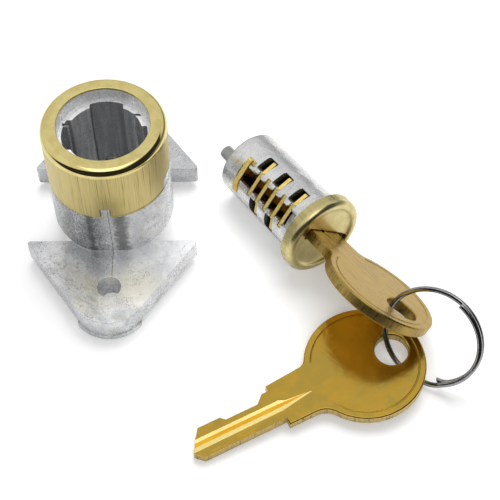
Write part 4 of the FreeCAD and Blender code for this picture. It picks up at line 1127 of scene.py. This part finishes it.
class CoilTree:
    """Geometry Nodes tree for a wound wire spring that stands on its place."""

    per_turn: int = 24
    around: int = 10

    def __init__(self) -> None:
        """Build the tree with its named inputs."""
        self.tree = bpy.data.node_groups.new("wound_spring", "GeometryNodeTree")
        self.inputs: dict[str, str] = {}
        for name, kind in (("Radius", "NodeSocketFloat"), ("Wire", "NodeSocketFloat"),
                           ("Height", "NodeSocketFloat"), ("Turns", "NodeSocketFloat"),
                           ("Material", "NodeSocketMaterial")):
            socket = self.tree.interface.new_socket(name, in_out="INPUT", socket_type=kind)
            self.inputs[name] = socket.identifier
        self.tree.interface.new_socket("Geometry", in_out="OUTPUT", socket_type="NodeSocketGeometry")
        given = self.tree.nodes.new("NodeGroupInput")
        path = self.tree.nodes.new("GeometryNodeCurveSpiral")
        path.inputs["Resolution"].default_value = self.per_turn
        section = self.tree.nodes.new("GeometryNodeCurvePrimitiveCircle")
        section.inputs["Resolution"].default_value = self.around
        sweep = self.tree.nodes.new("GeometryNodeCurveToMesh")
        sweep.inputs["Fill Caps"].default_value = True
        half = self.tree.nodes.new("ShaderNodeMath")
        half.operation = "MULTIPLY"
        half.inputs[1].default_value = 0.5
        smooth = self.tree.nodes.new("GeometryNodeSetShadeSmooth")
        realize = self.tree.nodes.new("GeometryNodeRealizeInstances")
        finish = self.tree.nodes.new("GeometryNodeSetMaterial")
        result = self.tree.nodes.new("NodeGroupOutput")
        for output, target in ((given.outputs["Radius"], path.inputs["Start Radius"]),
                               (given.outputs["Radius"], path.inputs["End Radius"]),
                               (given.outputs["Height"], path.inputs["Height"]),
                               (given.outputs["Turns"], path.inputs["Rotations"]),
                               (given.outputs["Wire"], half.inputs[0]),
                               (half.outputs[0], section.inputs["Radius"]),
                               (path.outputs["Curve"], sweep.inputs["Curve"]),
                               (section.outputs["Curve"], sweep.inputs["Profile Curve"]),
                               (sweep.outputs["Mesh"], smooth.inputs["Geometry"]),
                               (smooth.outputs["Geometry"], realize.inputs["Geometry"]),
                               (realize.outputs["Geometry"], finish.inputs["Geometry"]),
                               (given.outputs["Material"], finish.inputs["Material"]),
                               (finish.outputs["Geometry"], result.inputs["Geometry"])):
            self.tree.links.new(output, target)

    def spring(self, name: str, where: Place, radius: float, wire: float, height: float, turns: float,
               material: bpy.types.Material) -> bpy.types.Object:
        """One spring as a plain mesh.

        Args:
            name: Name of the piece.
            where: Place whose axis is the spring's, from its lower end.
            radius: Outside radius in millimetres.
            wire: Diameter of the wire.
            height: Length of the spring.
            turns: Number of turns.
            material: Its material.

        Returns:
            The new piece.
        """
        piece = give_mesh(name, bpy.data.meshes.new(name), [material])
        modifier = piece.modifiers.new("coil", "NODES")
        modifier.node_group = self.tree
        for key, value in (("Radius", radius - wire / 2), ("Wire", wire), ("Height", height - wire),
                           ("Turns", turns), ("Material", material)):
            modifier[self.inputs[key]] = value
        baked(piece)
        piece.data.transform(where.matrix() @ Matrix.Translation((0, 0, wire / 2)))
        return piece


@dataclass
class Plug:
    """The plug with its wafers and springs."""

    frame: Frame
    face_radius: float = 8.08
    face_front: float = 23.8
    face_start: float = 21.05
    face_roll: float = 1.0
    face_wall: float = 0.33
    face_under: float = 22.67
    face_bowl: tuple[Pair, ...] = ((6.05, 23.3), (5.6, 23.2), (4.9, 23.12), (4.0, 23.07), (2.4, 23.03),
                                   (0, 23.02))
    face_roll_end: float = 142.0
    face_step: float = 0.5
    face_fillet: float = 0.3
    face_columns: int = 144
    slot_half_width: float = 1.15
    slot_depth: Pair = (21.0, 25.0)
    slot_reach: Pair = (-6.4, 4.6)
    wafer_first: float = 8.1
    wafer_pitch: float = 2.4
    wafer_sides: tuple[int, ...] = (1, -1, 1, -1, 1)
    arm_root: tuple[float, float, float] = (2.6, 4.0, 5.3)
    spring_out: float = 3.75
    spring_back: float = 0.5
    spring_radius: float = 0.85
    spring_wire: float = 0.28
    spring_reach: Pair = (-1.0, 3.1)
    retainer_spring_at: Pair = (-3.15, 4.4)
    retainer_spring_radius: float = 0.5
    retainer_spring_reach: Pair = (-3.2, 2.6)
    retainer_throw: float = 0.8
    spring_turns: float = 6.5
    retainer_spring_turns: float = 9.0
    core_edge: float = 0.12
    stamped_edge: float = 0.07
    retainer_edge: float = 0.1
    flat_from: float = 0.7
    root_reach: float = 0.05

    def build(self) -> list[bpy.types.Object]:
        """Make and dress every piece of the plug.

        Returns:
            The new pieces.
        """
        return [self.core(), self.face(), *self.wafers(), self.retainer(), *self.springs()]

    def core(self) -> bpy.types.Object:
        """The zinc plug body with broken edges.

        Returns:
            The new piece.
        """
        where = self.frame.plug()
        zinc = PlugZinc("plug_zinc", where).build()
        piece = copy_of(self.frame.node("plug_core"), "plug_casting", [zinc], where)
        round_edges(piece, self.core_edge, 3)
        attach(piece, "plug")
        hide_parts("plug_core")
        return piece

    def face(self) -> bpy.types.Object:
        """The dished face, turned from one sheet section, with the key's slot through it.

        Returns:
            The new piece.
        """
        where = self.frame.plug()
        wall, roll = self.face_wall, self.face_roll
        inside = self.face_radius - wall
        roll_r, roll_z = self.face_radius - roll, self.face_front - roll
        section = [(self.face_radius, self.face_start)]
        section += arc((roll_r, roll_z), roll, 0, self.face_roll_end, 20)
        section += self.face_bowl
        fillet = self.face_fillet
        section += [(0, self.face_under), (inside - self.face_step, self.face_under)]
        section += arc((inside - fillet, self.face_under - fillet), fillet, 80, 0, 4)
        section += [(inside, self.face_start)]
        brass = SheetBrass("face_brass", where, self.face_radius, self.face_front, roll, (0.78, 0.68, 0.34),
                           (0.66, 0.56, 0.25), (0.62, 0.54, 0.26), satin=0.3, brushed=0.3, polish=0.3).build()
        shape = lathe(section, self.face_columns, where)
        bmesh.ops.remove_doubles(shape, verts=shape.verts, dist=2 * WELD)
        piece = give_mesh("plug_face_sheet", mesh_from(shape, "face"), [brass])
        low, high = self.slot_reach
        back, front = self.slot_depth
        half = self.slot_half_width
        cut_with(piece, block((-half, low, back), (half, high, front), where))
        round_edges(piece, self.stamped_edge, bluntest=SHEET_CORNER)
        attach(piece, "plug")
        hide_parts("plug_face")
        return piece

    def wafers(self) -> list[bpy.types.Object]:
        """The five stamped wafers.

        Returns:
            The new pieces.
        """
        where = self.frame.plug()
        materials = self.wafer_brass("wafer")
        made = []
        for number in range(1, len(self.wafer_sides) + 1):
            name = "wafer_%d" % number
            piece = copy_of(self.frame.node(name), "stamped_" + name, materials, where,
                            self.wafer_side, self.raise_arm)
            round_edges(piece, self.stamped_edge)
            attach(piece, name)
            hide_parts(name)
            made.append(piece)
        return made

    def wafer_brass(self, name: str) -> list[bpy.types.Material]:
        """Darker flats, and paler edges whose colour is partly wear and partly a painted highlight.

        Args:
            name: Start of the materials' names.

        Returns:
            The two materials, in the order of the sides.
        """
        where = self.frame.plug()
        flat = PlainMetal(name + "_flat", (0.9, 0.66, 0.18), (0.74, 0.5, 0.1), 0.22, 0.9, 0.006, where)
        # The edges' paler, less metallic brass stands partly for wear and partly for a painted highlight.
        edge = PlainMetal(name + "_edge", (0.92, 0.73, 0.25), (0.76, 0.56, 0.14), 0.32, 1.6, 0.012, where,
                          (1, 9, 1), 0.35)
        return [flat.build(), edge.build()]

    def wafer_side(self, middle: Vector, normal: Vector) -> Side:
        """Side of a wafer's face, from its middle and normal in the plug's place."""
        return Side.FACE if abs(normal.z) > self.flat_from else Side.EDGE

    def raise_arm(self, shape: bmesh.types.BMesh, where: Place) -> None:
        """Let a wafer's spring arm slope from the frame down to its end, close under the plug's surface.

        Args:
            shape: The wafer's merged copy, in the room's metres.
            where: The plug's place.
        """
        to_place, to_room = where.matrix().inverted(), where.matrix()
        side, height, raised = self.arm_root
        for corner in shape.verts:
            x, y, z = to_place @ corner.co
            if abs(abs(x) - side) < self.root_reach and abs(y - height) < self.root_reach:
                corner.co = to_room @ Vector((x, raised, z))

    def retainer(self) -> bpy.types.Object:
        """The retaining wafer with its round corners.

        Returns:
            The new piece.
        """
        where = self.frame.plug()
        piece = copy_of(self.frame.node("retainer_wafer"), "stamped_retainer",
                        self.wafer_brass("retainer"), where, self.wafer_side)
        round_edges(piece, self.retainer_edge, 3)
        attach(piece, "retainer")
        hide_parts("retainer_wafer")
        return piece

    def standing(self, x: float, low: float, z: float) -> Place:
        """A place in the plug whose axis runs towards the wafer window."""
        plug = self.frame.plug()
        return Place(plug.point(x, low, z), plug.across, -plug.along, plug.beside)

    def springs(self) -> list[bpy.types.Object]:
        """The wound springs of the wafers and of the retaining wafer.

        Returns:
            The new pieces.
        """
        bronze = PlainMetal("spring_bronze", (0.42, 0.26, 0.12), (0.28, 0.16, 0.07), 0.3, 1.4, 0.004,
                            self.frame.plug()).build()
        coils = CoilTree()
        made = []
        low, high = self.spring_reach
        for number, side in enumerate(self.wafer_sides):
            place = self.standing(side * self.spring_out, low,
                                  self.wafer_first + number * self.wafer_pitch - self.spring_back)
            piece = coils.spring("coil_%d" % (number + 1), place, self.spring_radius, self.spring_wire,
                                 high - low, self.spring_turns, bronze)
            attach(piece, "plug")
            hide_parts("wafer_spring_%d" % (number + 1))
            made.append(piece)
        made.append(self.retainer_spring(coils, bronze))
        return made

    def retainer_spring(self, coils: CoilTree, bronze: bpy.types.Material) -> bpy.types.Object:
        """The retaining wafer's spring, with a mesh of its own.

        Args:
            coils: The spring tree.
            bronze: Material of the wire.

        Returns:
            The new piece.
        """
        low, high = self.retainer_spring_reach
        x, z = self.retainer_spring_at
        place = self.standing(x, low, z)
        piece = coils.spring("retainer_coil", place, self.retainer_spring_radius, self.spring_wire,
                             high - low, self.retainer_spring_turns, bronze)
        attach(piece, "plug")
        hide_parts("retainer_spring")
        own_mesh(piece)
        return piece


@dataclass
class Keys:
    """The key in the plug and the spare key."""

    frame: Frame
    groove_end: float = -11.2
    groove_bottom: Pair = (-0.53, 0.3)
    groove_lines: Pair = (-1.55, 0.5)
    parted: float = 1.2
    thickness: float = 2.0
    run_out: float = -17.0
    shoulder: Pair = (-0.1, 0.955)
    trough: Pair = (-0.76, 0.81)
    run_out_ends: tuple[Pair, ...] = ((-15.8, -0.05), (-11.6, -0.42), (-11.2, -0.5), (-10.9, -0.62))
    groove_half_width: float = 0.75
    groove_floor: float = 0.2
    flank_from: float = -0.18
    flat_from: float = 0.9
    flat_height: float = 0.6
    blank_edge: float = 0.07
    drawn: Vertex = (8, 1, 1)

    def build(self) -> list[bpy.types.Object]:
        """Make and dress both keys.

        Returns:
            The new pieces.
        """
        first, second = self.frame.key_1(), self.frame.key_2()
        return [
            self.key("key_1", first, KeyBrass("key_1_brass", first, (0.56, 0.37, 0.08), (0.44, 0.28, 0.055),
                                              0.3, 0.02, (0.58, 0.4, 0.12))),
            self.key("key_2", second, KeyBrass("key_2_brass", second)),
        ]

    def side_of(self, middle: Vector, normal: Vector) -> Side:
        """Side of a key's face: flat, blanked edge, groove or the groove's steep flank.

        Args:
            middle: Middle of the face, in the key's place.
            normal: Its normal there.

        Returns:
            The side.
        """
        low, high = self.groove_lines
        inside = middle.x < self.groove_end + 0.3 and low < middle.y < high
        if inside and normal.z > 0.5 and self.groove_floor < middle.z < self.thickness / 2 - 0.01:
            return Side.FLANK if normal.y < self.flank_from else Side.GROOVE
        flat = abs(normal.z) > self.flat_from or abs(middle.z) > self.flat_height
        return Side.FACE if flat else Side.EDGE

    def sides(self, shape: bmesh.types.BMesh, where: Place) -> list[tuple[bmesh.types.BMFace, Side]]:
        """Every face of a key with its side.

        Args:
            shape: The key's merged copy, in the room's metres.
            where: The key's place.

        Returns:
            Pairs of face and side.
        """
        to_place, turn_back = where.matrix().inverted(), where.turn().transposed()
        return [(face, self.side_of(to_place @ face.calc_center_median(), turn_back @ face.normal))
                for face in shape.faces]

    def shape_groove(self, shape: bmesh.types.BMesh, where: Place) -> None:
        """Give the groove its shallow sides, steep flank and pointed run-out towards the bow.

        Args:
            shape: The key's merged copy, in the room's metres.
            where: The key's place.
        """
        to_place, to_room = where.matrix().inverted(), where.matrix()
        top = self.thickness / 2
        part_faces(shape, where.point(self.run_out, 0, 0), where.across)
        far = [face for face, side in self.sides(shape, where) if side is Side.FLANK]
        part_faces(shape, where.point(0, self.shoulder[0], 0), where.beside, far)
        middle = self.groove_bottom[0]
        near_y, far_y = middle - self.groove_half_width, middle + self.groove_half_width
        rows = ((far_y, top, self.groove_lines[1], top), (self.shoulder[0], None, *self.shoulder),
                (*self.groove_bottom, *self.trough), (near_y, top, self.groove_lines[0], top))
        ends = []
        for corner in shape.verts:
            x, y, z = to_place @ corner.co
            if x > self.groove_end + 0.01 or z < self.groove_floor:
                continue
            for (row_y, row_z, new_y, new_z), end in zip(rows, self.run_out_ends):
                if abs(y - row_y) > 0.02 or (row_z is not None and abs(z - row_z) > 0.05):
                    continue
                if row_z is None and z > top - 0.02:
                    continue
                if x > self.groove_end - 0.01:
                    ends.append(corner)
                    corner.co = to_room @ Vector((*end, top))
                else:
                    corner.co = to_room @ Vector((x, new_y, new_z))
                break
        outer = {self.run_out_ends[0][1], self.run_out_ends[-1][1]}
        across = [edge for edge in shape.edges if edge.verts[0] in ends and edge.verts[1] in ends
                  and {round((to_place @ v.co).y, 2) for v in edge.verts} == outer]
        bmesh.ops.dissolve_edges(shape, edges=across)
        bmesh.ops.recalc_face_normals(shape, faces=shape.faces)
        shape.normal_update()
        for face, side in self.sides(shape, where):
            if side in (Side.GROOVE, Side.FLANK):
                for edge in face.edges:
                    edge.smooth = False

    def key(self, name: str, where: Place, finish: KeyBrass) -> bpy.types.Object:
        """One key with softened edges.

        Args:
            name: Name of its node and body.
            where: Its place.
            finish: Finish of its flats.

        Returns:
            The new piece.
        """
        sawn = SawnBrass(name + "_edge", where, finish.edge)
        # Painted light: the groove's shallow sides get a paler, partly diffuse copy of the brass in place of
        # their lighting.
        groove = PlainMetal(name + "_groove", (1.0, 0.82, 0.3), (0.92, 0.7, 0.24), 0.2, 0.8, 0.006, where,
                            self.drawn, 0.45)
        # Painted reflection: the groove's steep flank gets a deeper orange copy of the brass, for brass
        # mirrored in brass.
        flank = PlainMetal(name + "_flank", (0.5, 0.28, 0.022), (0.44, 0.22, 0.016), 0.14, 0.8, 0.004, where,
                           self.drawn)
        piece = copy_of(self.frame.node(name), name + "_blank",
                        [finish.build(), sawn.build(), groove.build(), flank.build()],
                        where, self.side_of, self.shape_groove, self.parted)
        round_edges(piece, self.blank_edge)
        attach(piece, name)
        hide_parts(name)
        return piece


@dataclass
class SplitRing:
    """The ring: one wire wound 1.4 turns, its two layers side by side where they overlap.

    It bends outwards a little beside its first end, which leaves room for the spare key's bow at the end
    of its swing.
    """

    frame: Frame
    radius: float = 8.83
    deep: float = 0.94
    wide: float = 0.78
    lap_gap: float = 0.02
    start: float = -62.0
    overlap: float = 138.0
    end_round: float = 0.16
    sprung: float = 0.55
    sprung_reach: float = 16.0
    jog_at: float = 356.0
    jog_reach: float = 16.0
    jog: float = 0.18
    steps: int = 300
    sides: int = 20
    squareness: float = 0.75
    end_step: float = 0.3

    def path(self, angle: float) -> Vector:
        """Middle of the wire.

        Args:
            angle: Angle from the wire's start.

        Returns:
            The point in the ring's own place.
        """
        single = 360 - self.overlap
        share = min(max((angle - self.overlap) / single, 0), 1)
        height = (self.wide + self.lap_gap) * (share * share * (3 - 2 * share) - 0.5)
        turn = math.radians(angle + self.start)
        inward = self.sprung * max(1 - angle / self.sprung_reach, 0) ** 2
        near = max(1 - abs(angle - self.jog_at) / self.jog_reach, 0)
        radius = self.radius - inward + self.jog * near * near * (3 - 2 * near)
        return Vector((radius * math.cos(turn), radius * math.sin(turn), height))

    def section(self, angle: float, shrink: float, onward: float, to_room: Matrix) -> list[Vector]:
        """Points round the wire.

        Args:
            angle: Angle of the section from the wire's start.
            shrink: How much smaller than the wire the section is, on every side.
            onward: How far the section is moved along the wire.
            to_room: Transform of the points.

        Returns:
            The points in the room's metres.
        """
        turn = math.radians(angle + self.start)
        out = Vector((math.cos(turn), math.sin(turn), 0))
        onwards = Vector((-math.sin(turn), math.cos(turn), 0))
        middle = self.path(angle) + onwards * onward
        points = []
        for step in range(self.sides):
            around = 2 * math.pi * step / self.sides
            x, z = math.cos(around), math.sin(around)
            x = math.copysign(abs(x) ** self.squareness, x) * (self.deep / 2 - shrink)
            z = math.copysign(abs(z) ** self.squareness, z) * (self.wide / 2 - shrink)
            points.append(to_room @ (middle + out * x + Vector((0, 0, z))))
        return points

    def build(self) -> list[bpy.types.Object]:
        """Make and dress the ring.

        Returns:
            The new piece.
        """
        where = self.frame.ring()
        to_room = where.matrix()
        length = 360 + self.overlap
        rounding, step_in = self.end_round, self.end_round * self.end_step
        rows = [self.section(0, rounding, 0, to_room), self.section(0, step_in, step_in, to_room)]
        rows += [self.section(0.5 + (length - 1) * step / self.steps, 0, 0, to_room)
                 for step in range(1, self.steps)]
        rows += [self.section(length, step_in, -step_in, to_room), self.section(length, rounding, 0, to_room)]
        shape = bmesh.new()
        loops = [[shape.verts.new(point) for point in row] for row in rows]
        for here, there in zip(loops, loops[1:]):
            for point in range(len(here)):
                after = (point + 1) % len(here)
                shape.faces.new((here[point], here[after], there[after], there[point]))
        shape.faces.new(loops[0])
        shape.faces.new(loops[-1])
        bmesh.ops.recalc_face_normals(shape, faces=shape.faces)
        steel = PlainMetal("ring_steel", (0.42, 0.42, 0.43), (0.3, 0.3, 0.31), 0.12, 0.7, 0.008, where)
        piece = give_mesh("split_ring_wire", mesh_from(shape, "ring"), [steel.build()])
        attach(piece, "ring")
        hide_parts("split_ring")
        return [piece]


@dataclass(frozen=True)
class SoftBox:
    """A soft box overhead, by the slopes of the directions in which it is seen."""

    sideways: Pair
    backwards: Pair
    soft: Pair
    level: float


@dataclass(frozen=True)
class Lamp:
    """A square soft lamp, with its points and its side in millimetres and its power in watts."""

    name: str
    at: Vertex
    towards: Vertex
    size: float
    power: float


@dataclass(frozen=True)
class Room:
    """What polished metal mirrors of the studio above the floor."""

    dim: float = 0.03
    backdrop: float = 0.85
    backdrop_right: float = 0.4
    backdrop_height: Pair = (0.5, 0.1)
    backdrop_depth: Pair = (-0.35, 0.2)
    backdrop_turn: Pair = (0.0, 0.5)
    lowest: float = 0.02
    overhead: Pair = (0.05, 0.12)
    boxes: tuple[SoftBox, ...] = (
        SoftBox((-9.0, 0.45), (-0.6, 3.0), (0.12, 0.07), 1.0),
        SoftBox((-3.0, 1.8), (0.74, 3.0), (0.2, 0.07), 0.9),
        SoftBox((-0.3, 0.3), (-0.52, 0.25), (0.08, 0.08), 2.2),
    )


@dataclass
class Studio:
    """Floor, lamps and the camera at the photograph's angle."""

    focal_length: float = 81.28
    sensor_width: float = 36.0
    seen_from: float = 0.01
    seen_to: float = 10.0
    camera_at: Vertex = (21.83, -128.934, 177.748)
    pitch: float = 55.55
    yaw: float = 1.82
    roll: float = 1.15
    floor_radius: float = 600.0
    floor_front: float = -85.0
    floor_sides: int = 96
    floor_colour: Colour = (0.82, 0.82, 0.82)
    floor_glow: float = 0.3
    mirrored_glow: float = 0.1
    even_light: float = 0.5
    white: float = 1.25
    mirrored: Room = field(default_factory=Room)
    lamps: tuple[Lamp, ...] = (
        Lamp("overhead", (60, 150, 330), (20, -10, 0), 260, 1.1),
        Lamp("front", (60, -260, 300), (20, -10, 5), 120, 0.2),
    )

    def build(self) -> None:
        """Make the whole studio."""
        self.camera()
        self.floor()
        self.world()
        for lamp in self.lamps:
            self.light(lamp)

    def camera(self) -> None:
        """The camera, with its place and turn solved from the photograph."""
        data = bpy.data.cameras.new("camera")
        data.lens = self.focal_length
        data.sensor_width = self.sensor_width
        data.clip_start = self.seen_from
        data.clip_end = self.seen_to
        camera = bpy.data.objects.new("camera", data)
        pitch, yaw, roll = (math.radians(angle) for angle in (self.pitch, self.yaw, self.roll))
        forward = Vector((math.sin(yaw) * math.cos(pitch), math.cos(yaw) * math.cos(pitch), -math.sin(pitch)))
        right = Vector((math.cos(yaw), -math.sin(yaw), 0))
        up = right.cross(forward)
        level = right * math.cos(roll) + up * math.sin(roll)
        above = up * math.cos(roll) - right * math.sin(roll)
        turn = Matrix((level, above, -forward)).transposed().to_4x4()
        camera.matrix_world = Matrix.Translation(Vector(self.camera_at) * MM) @ turn
        bpy.context.scene.collection.objects.link(camera)
        bpy.context.scene.camera = camera

    def floor(self) -> None:
        """A plain pale sheet that keeps the shadows, is white to the camera and ends in front of the lock."""
        shape = bmesh.new()
        bmesh.ops.create_circle(shape, cap_ends=True, segments=self.floor_sides,
                                radius=self.floor_radius * MM)
        bmesh.ops.bisect_plane(shape, geom=[*shape.verts, *shape.edges, *shape.faces], dist=MM,
                               plane_co=(0, self.floor_front * MM, 0), plane_no=(0, -1, 0), clear_outer=True)
        shade = Shader(bpy.data.materials.new("floor_white"))
        seen = self.seen(shade)
        surface = shade.node("ShaderNodeBsdfDiffuse")
        shade.feed(surface.inputs["Color"], self.floor_colour)
        glow = shade.node("ShaderNodeEmission")
        mirrored = shade.node("ShaderNodeLightPath").outputs["Is Glossy Ray"]
        strength = shade.blend(mirrored, self.floor_glow, self.mirrored_glow)
        shade.feed(glow.inputs["Strength"], shade.times(seen, strength))
        both = shade.node("ShaderNodeAddShader")
        shade.tree.links.new(surface.outputs[0], both.inputs[0])
        shade.tree.links.new(glow.outputs[0], both.inputs[1])
        output = shade.node("ShaderNodeOutputMaterial")
        shade.tree.links.new(both.outputs[0], output.inputs["Surface"])
        floor = give_mesh("floor", mesh_from(shape, "floor"), [shade.owner])

    def seen(self, shade: Shader) -> Socket:
        """Whether a ray is one that shows the background: seen, mirrored or through glass.

        Args:
            shade: The material's builder.

        Returns:
            Value output, 0 or 1.
        """
        path = shade.node("ShaderNodeLightPath")
        seen = shade.maths("MAXIMUM", path.outputs["Is Camera Ray"], path.outputs["Is Glossy Ray"])
        return shade.maths("MAXIMUM", seen, path.outputs["Is Transmission Ray"])

    def world(self) -> None:
        """White where it is seen, a soft even light, and soft boxes in a dim room where it is mirrored."""
        world = bpy.data.worlds.new("studio")
        bpy.context.scene.world = world
        shade = Shader(world)
        x, y, z = shade.parts(shade.node("ShaderNodeTexCoord").outputs["Generated"])
        room = self.mirrored
        height = shade.maths("MAXIMUM", z, room.lowest)
        u, v = shade.maths("DIVIDE", x, height), shade.maths("DIVIDE", y, height)
        backdrop = shade.times(shade.remap(z, *room.backdrop_height), shade.remap(y, *room.backdrop_depth))
        bright = shade.remap(x, *room.backdrop_turn, room.backdrop, room.backdrop_right)
        level = shade.blend(backdrop, room.dim, bright)
        for box in room.boxes:
            level = shade.blend(self.box_share(shade, box, u, v, z), level, box.level)
        path = shade.node("ShaderNodeLightPath")
        mirrored = path.outputs["Is Glossy Ray"]
        strength = shade.blend(mirrored, self.even_light, level)
        seen = shade.maths("MAXIMUM", path.outputs["Is Camera Ray"], path.outputs["Is Transmission Ray"])
        strength = shade.blend(seen, strength, self.white)
        background = shade.node("ShaderNodeBackground")
        shade.feed(background.inputs["Strength"], strength)
        output = shade.node("ShaderNodeOutputWorld")
        shade.tree.links.new(background.outputs[0], output.inputs["Surface"])

    def box_share(self, shade: Shader, box: SoftBox, u: Socket, v: Socket, z: Socket) -> Socket:
        """How much of a direction is filled by a soft box, from 0 to 1.

        Args:
            shade: The world's builder.
            box: The soft box.
            u: Sideways slope of the direction.
            v: Slope of the direction to the back.
            z: Upward part of the direction.

        Returns:
            Value output.
        """
        share = shade.remap(z, *self.mirrored.overhead)
        for value, (low, high), soft in ((u, box.sideways, box.soft[0]), (v, box.backwards, box.soft[1])):
            share = shade.times(share, shade.remap(value, low - soft, low + soft),
                                shade.remap(value, high + soft, high - soft))
        return share

    def light(self, lamp: Lamp) -> None:
        """Put a lamp in the scene; polished metal does not mirror it.

        Args:
            lamp: The lamp.
        """
        data = bpy.data.lights.new(lamp.name, "AREA")
        data.energy = lamp.power
        data.size = lamp.size * MM
        light = bpy.data.objects.new(lamp.name, data)
        light.visible_glossy = False
        away = (Vector(lamp.towards) - Vector(lamp.at)).normalized()
        light.location = Vector(lamp.at) * MM
        light.rotation_euler = away.to_track_quat("-Z", "Y").to_euler()
        bpy.context.scene.collection.objects.link(light)


def main() -> None:
    """Build the scene from the frame outwards."""
    logging.basicConfig(level=logging.INFO, format="%(message)s")
    frame = Frame(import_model())
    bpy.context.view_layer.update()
    bpy.context.scene.view_settings.view_transform = "Standard"
    Studio().build()
    for part in (Housing(frame), Plug(frame), Keys(frame), SplitRing(frame)):
        for piece in part.build():
            LOG.info("%s: %d faces", piece.name, len(piece.data.polygons))


if __name__ == "__main__":
    main()
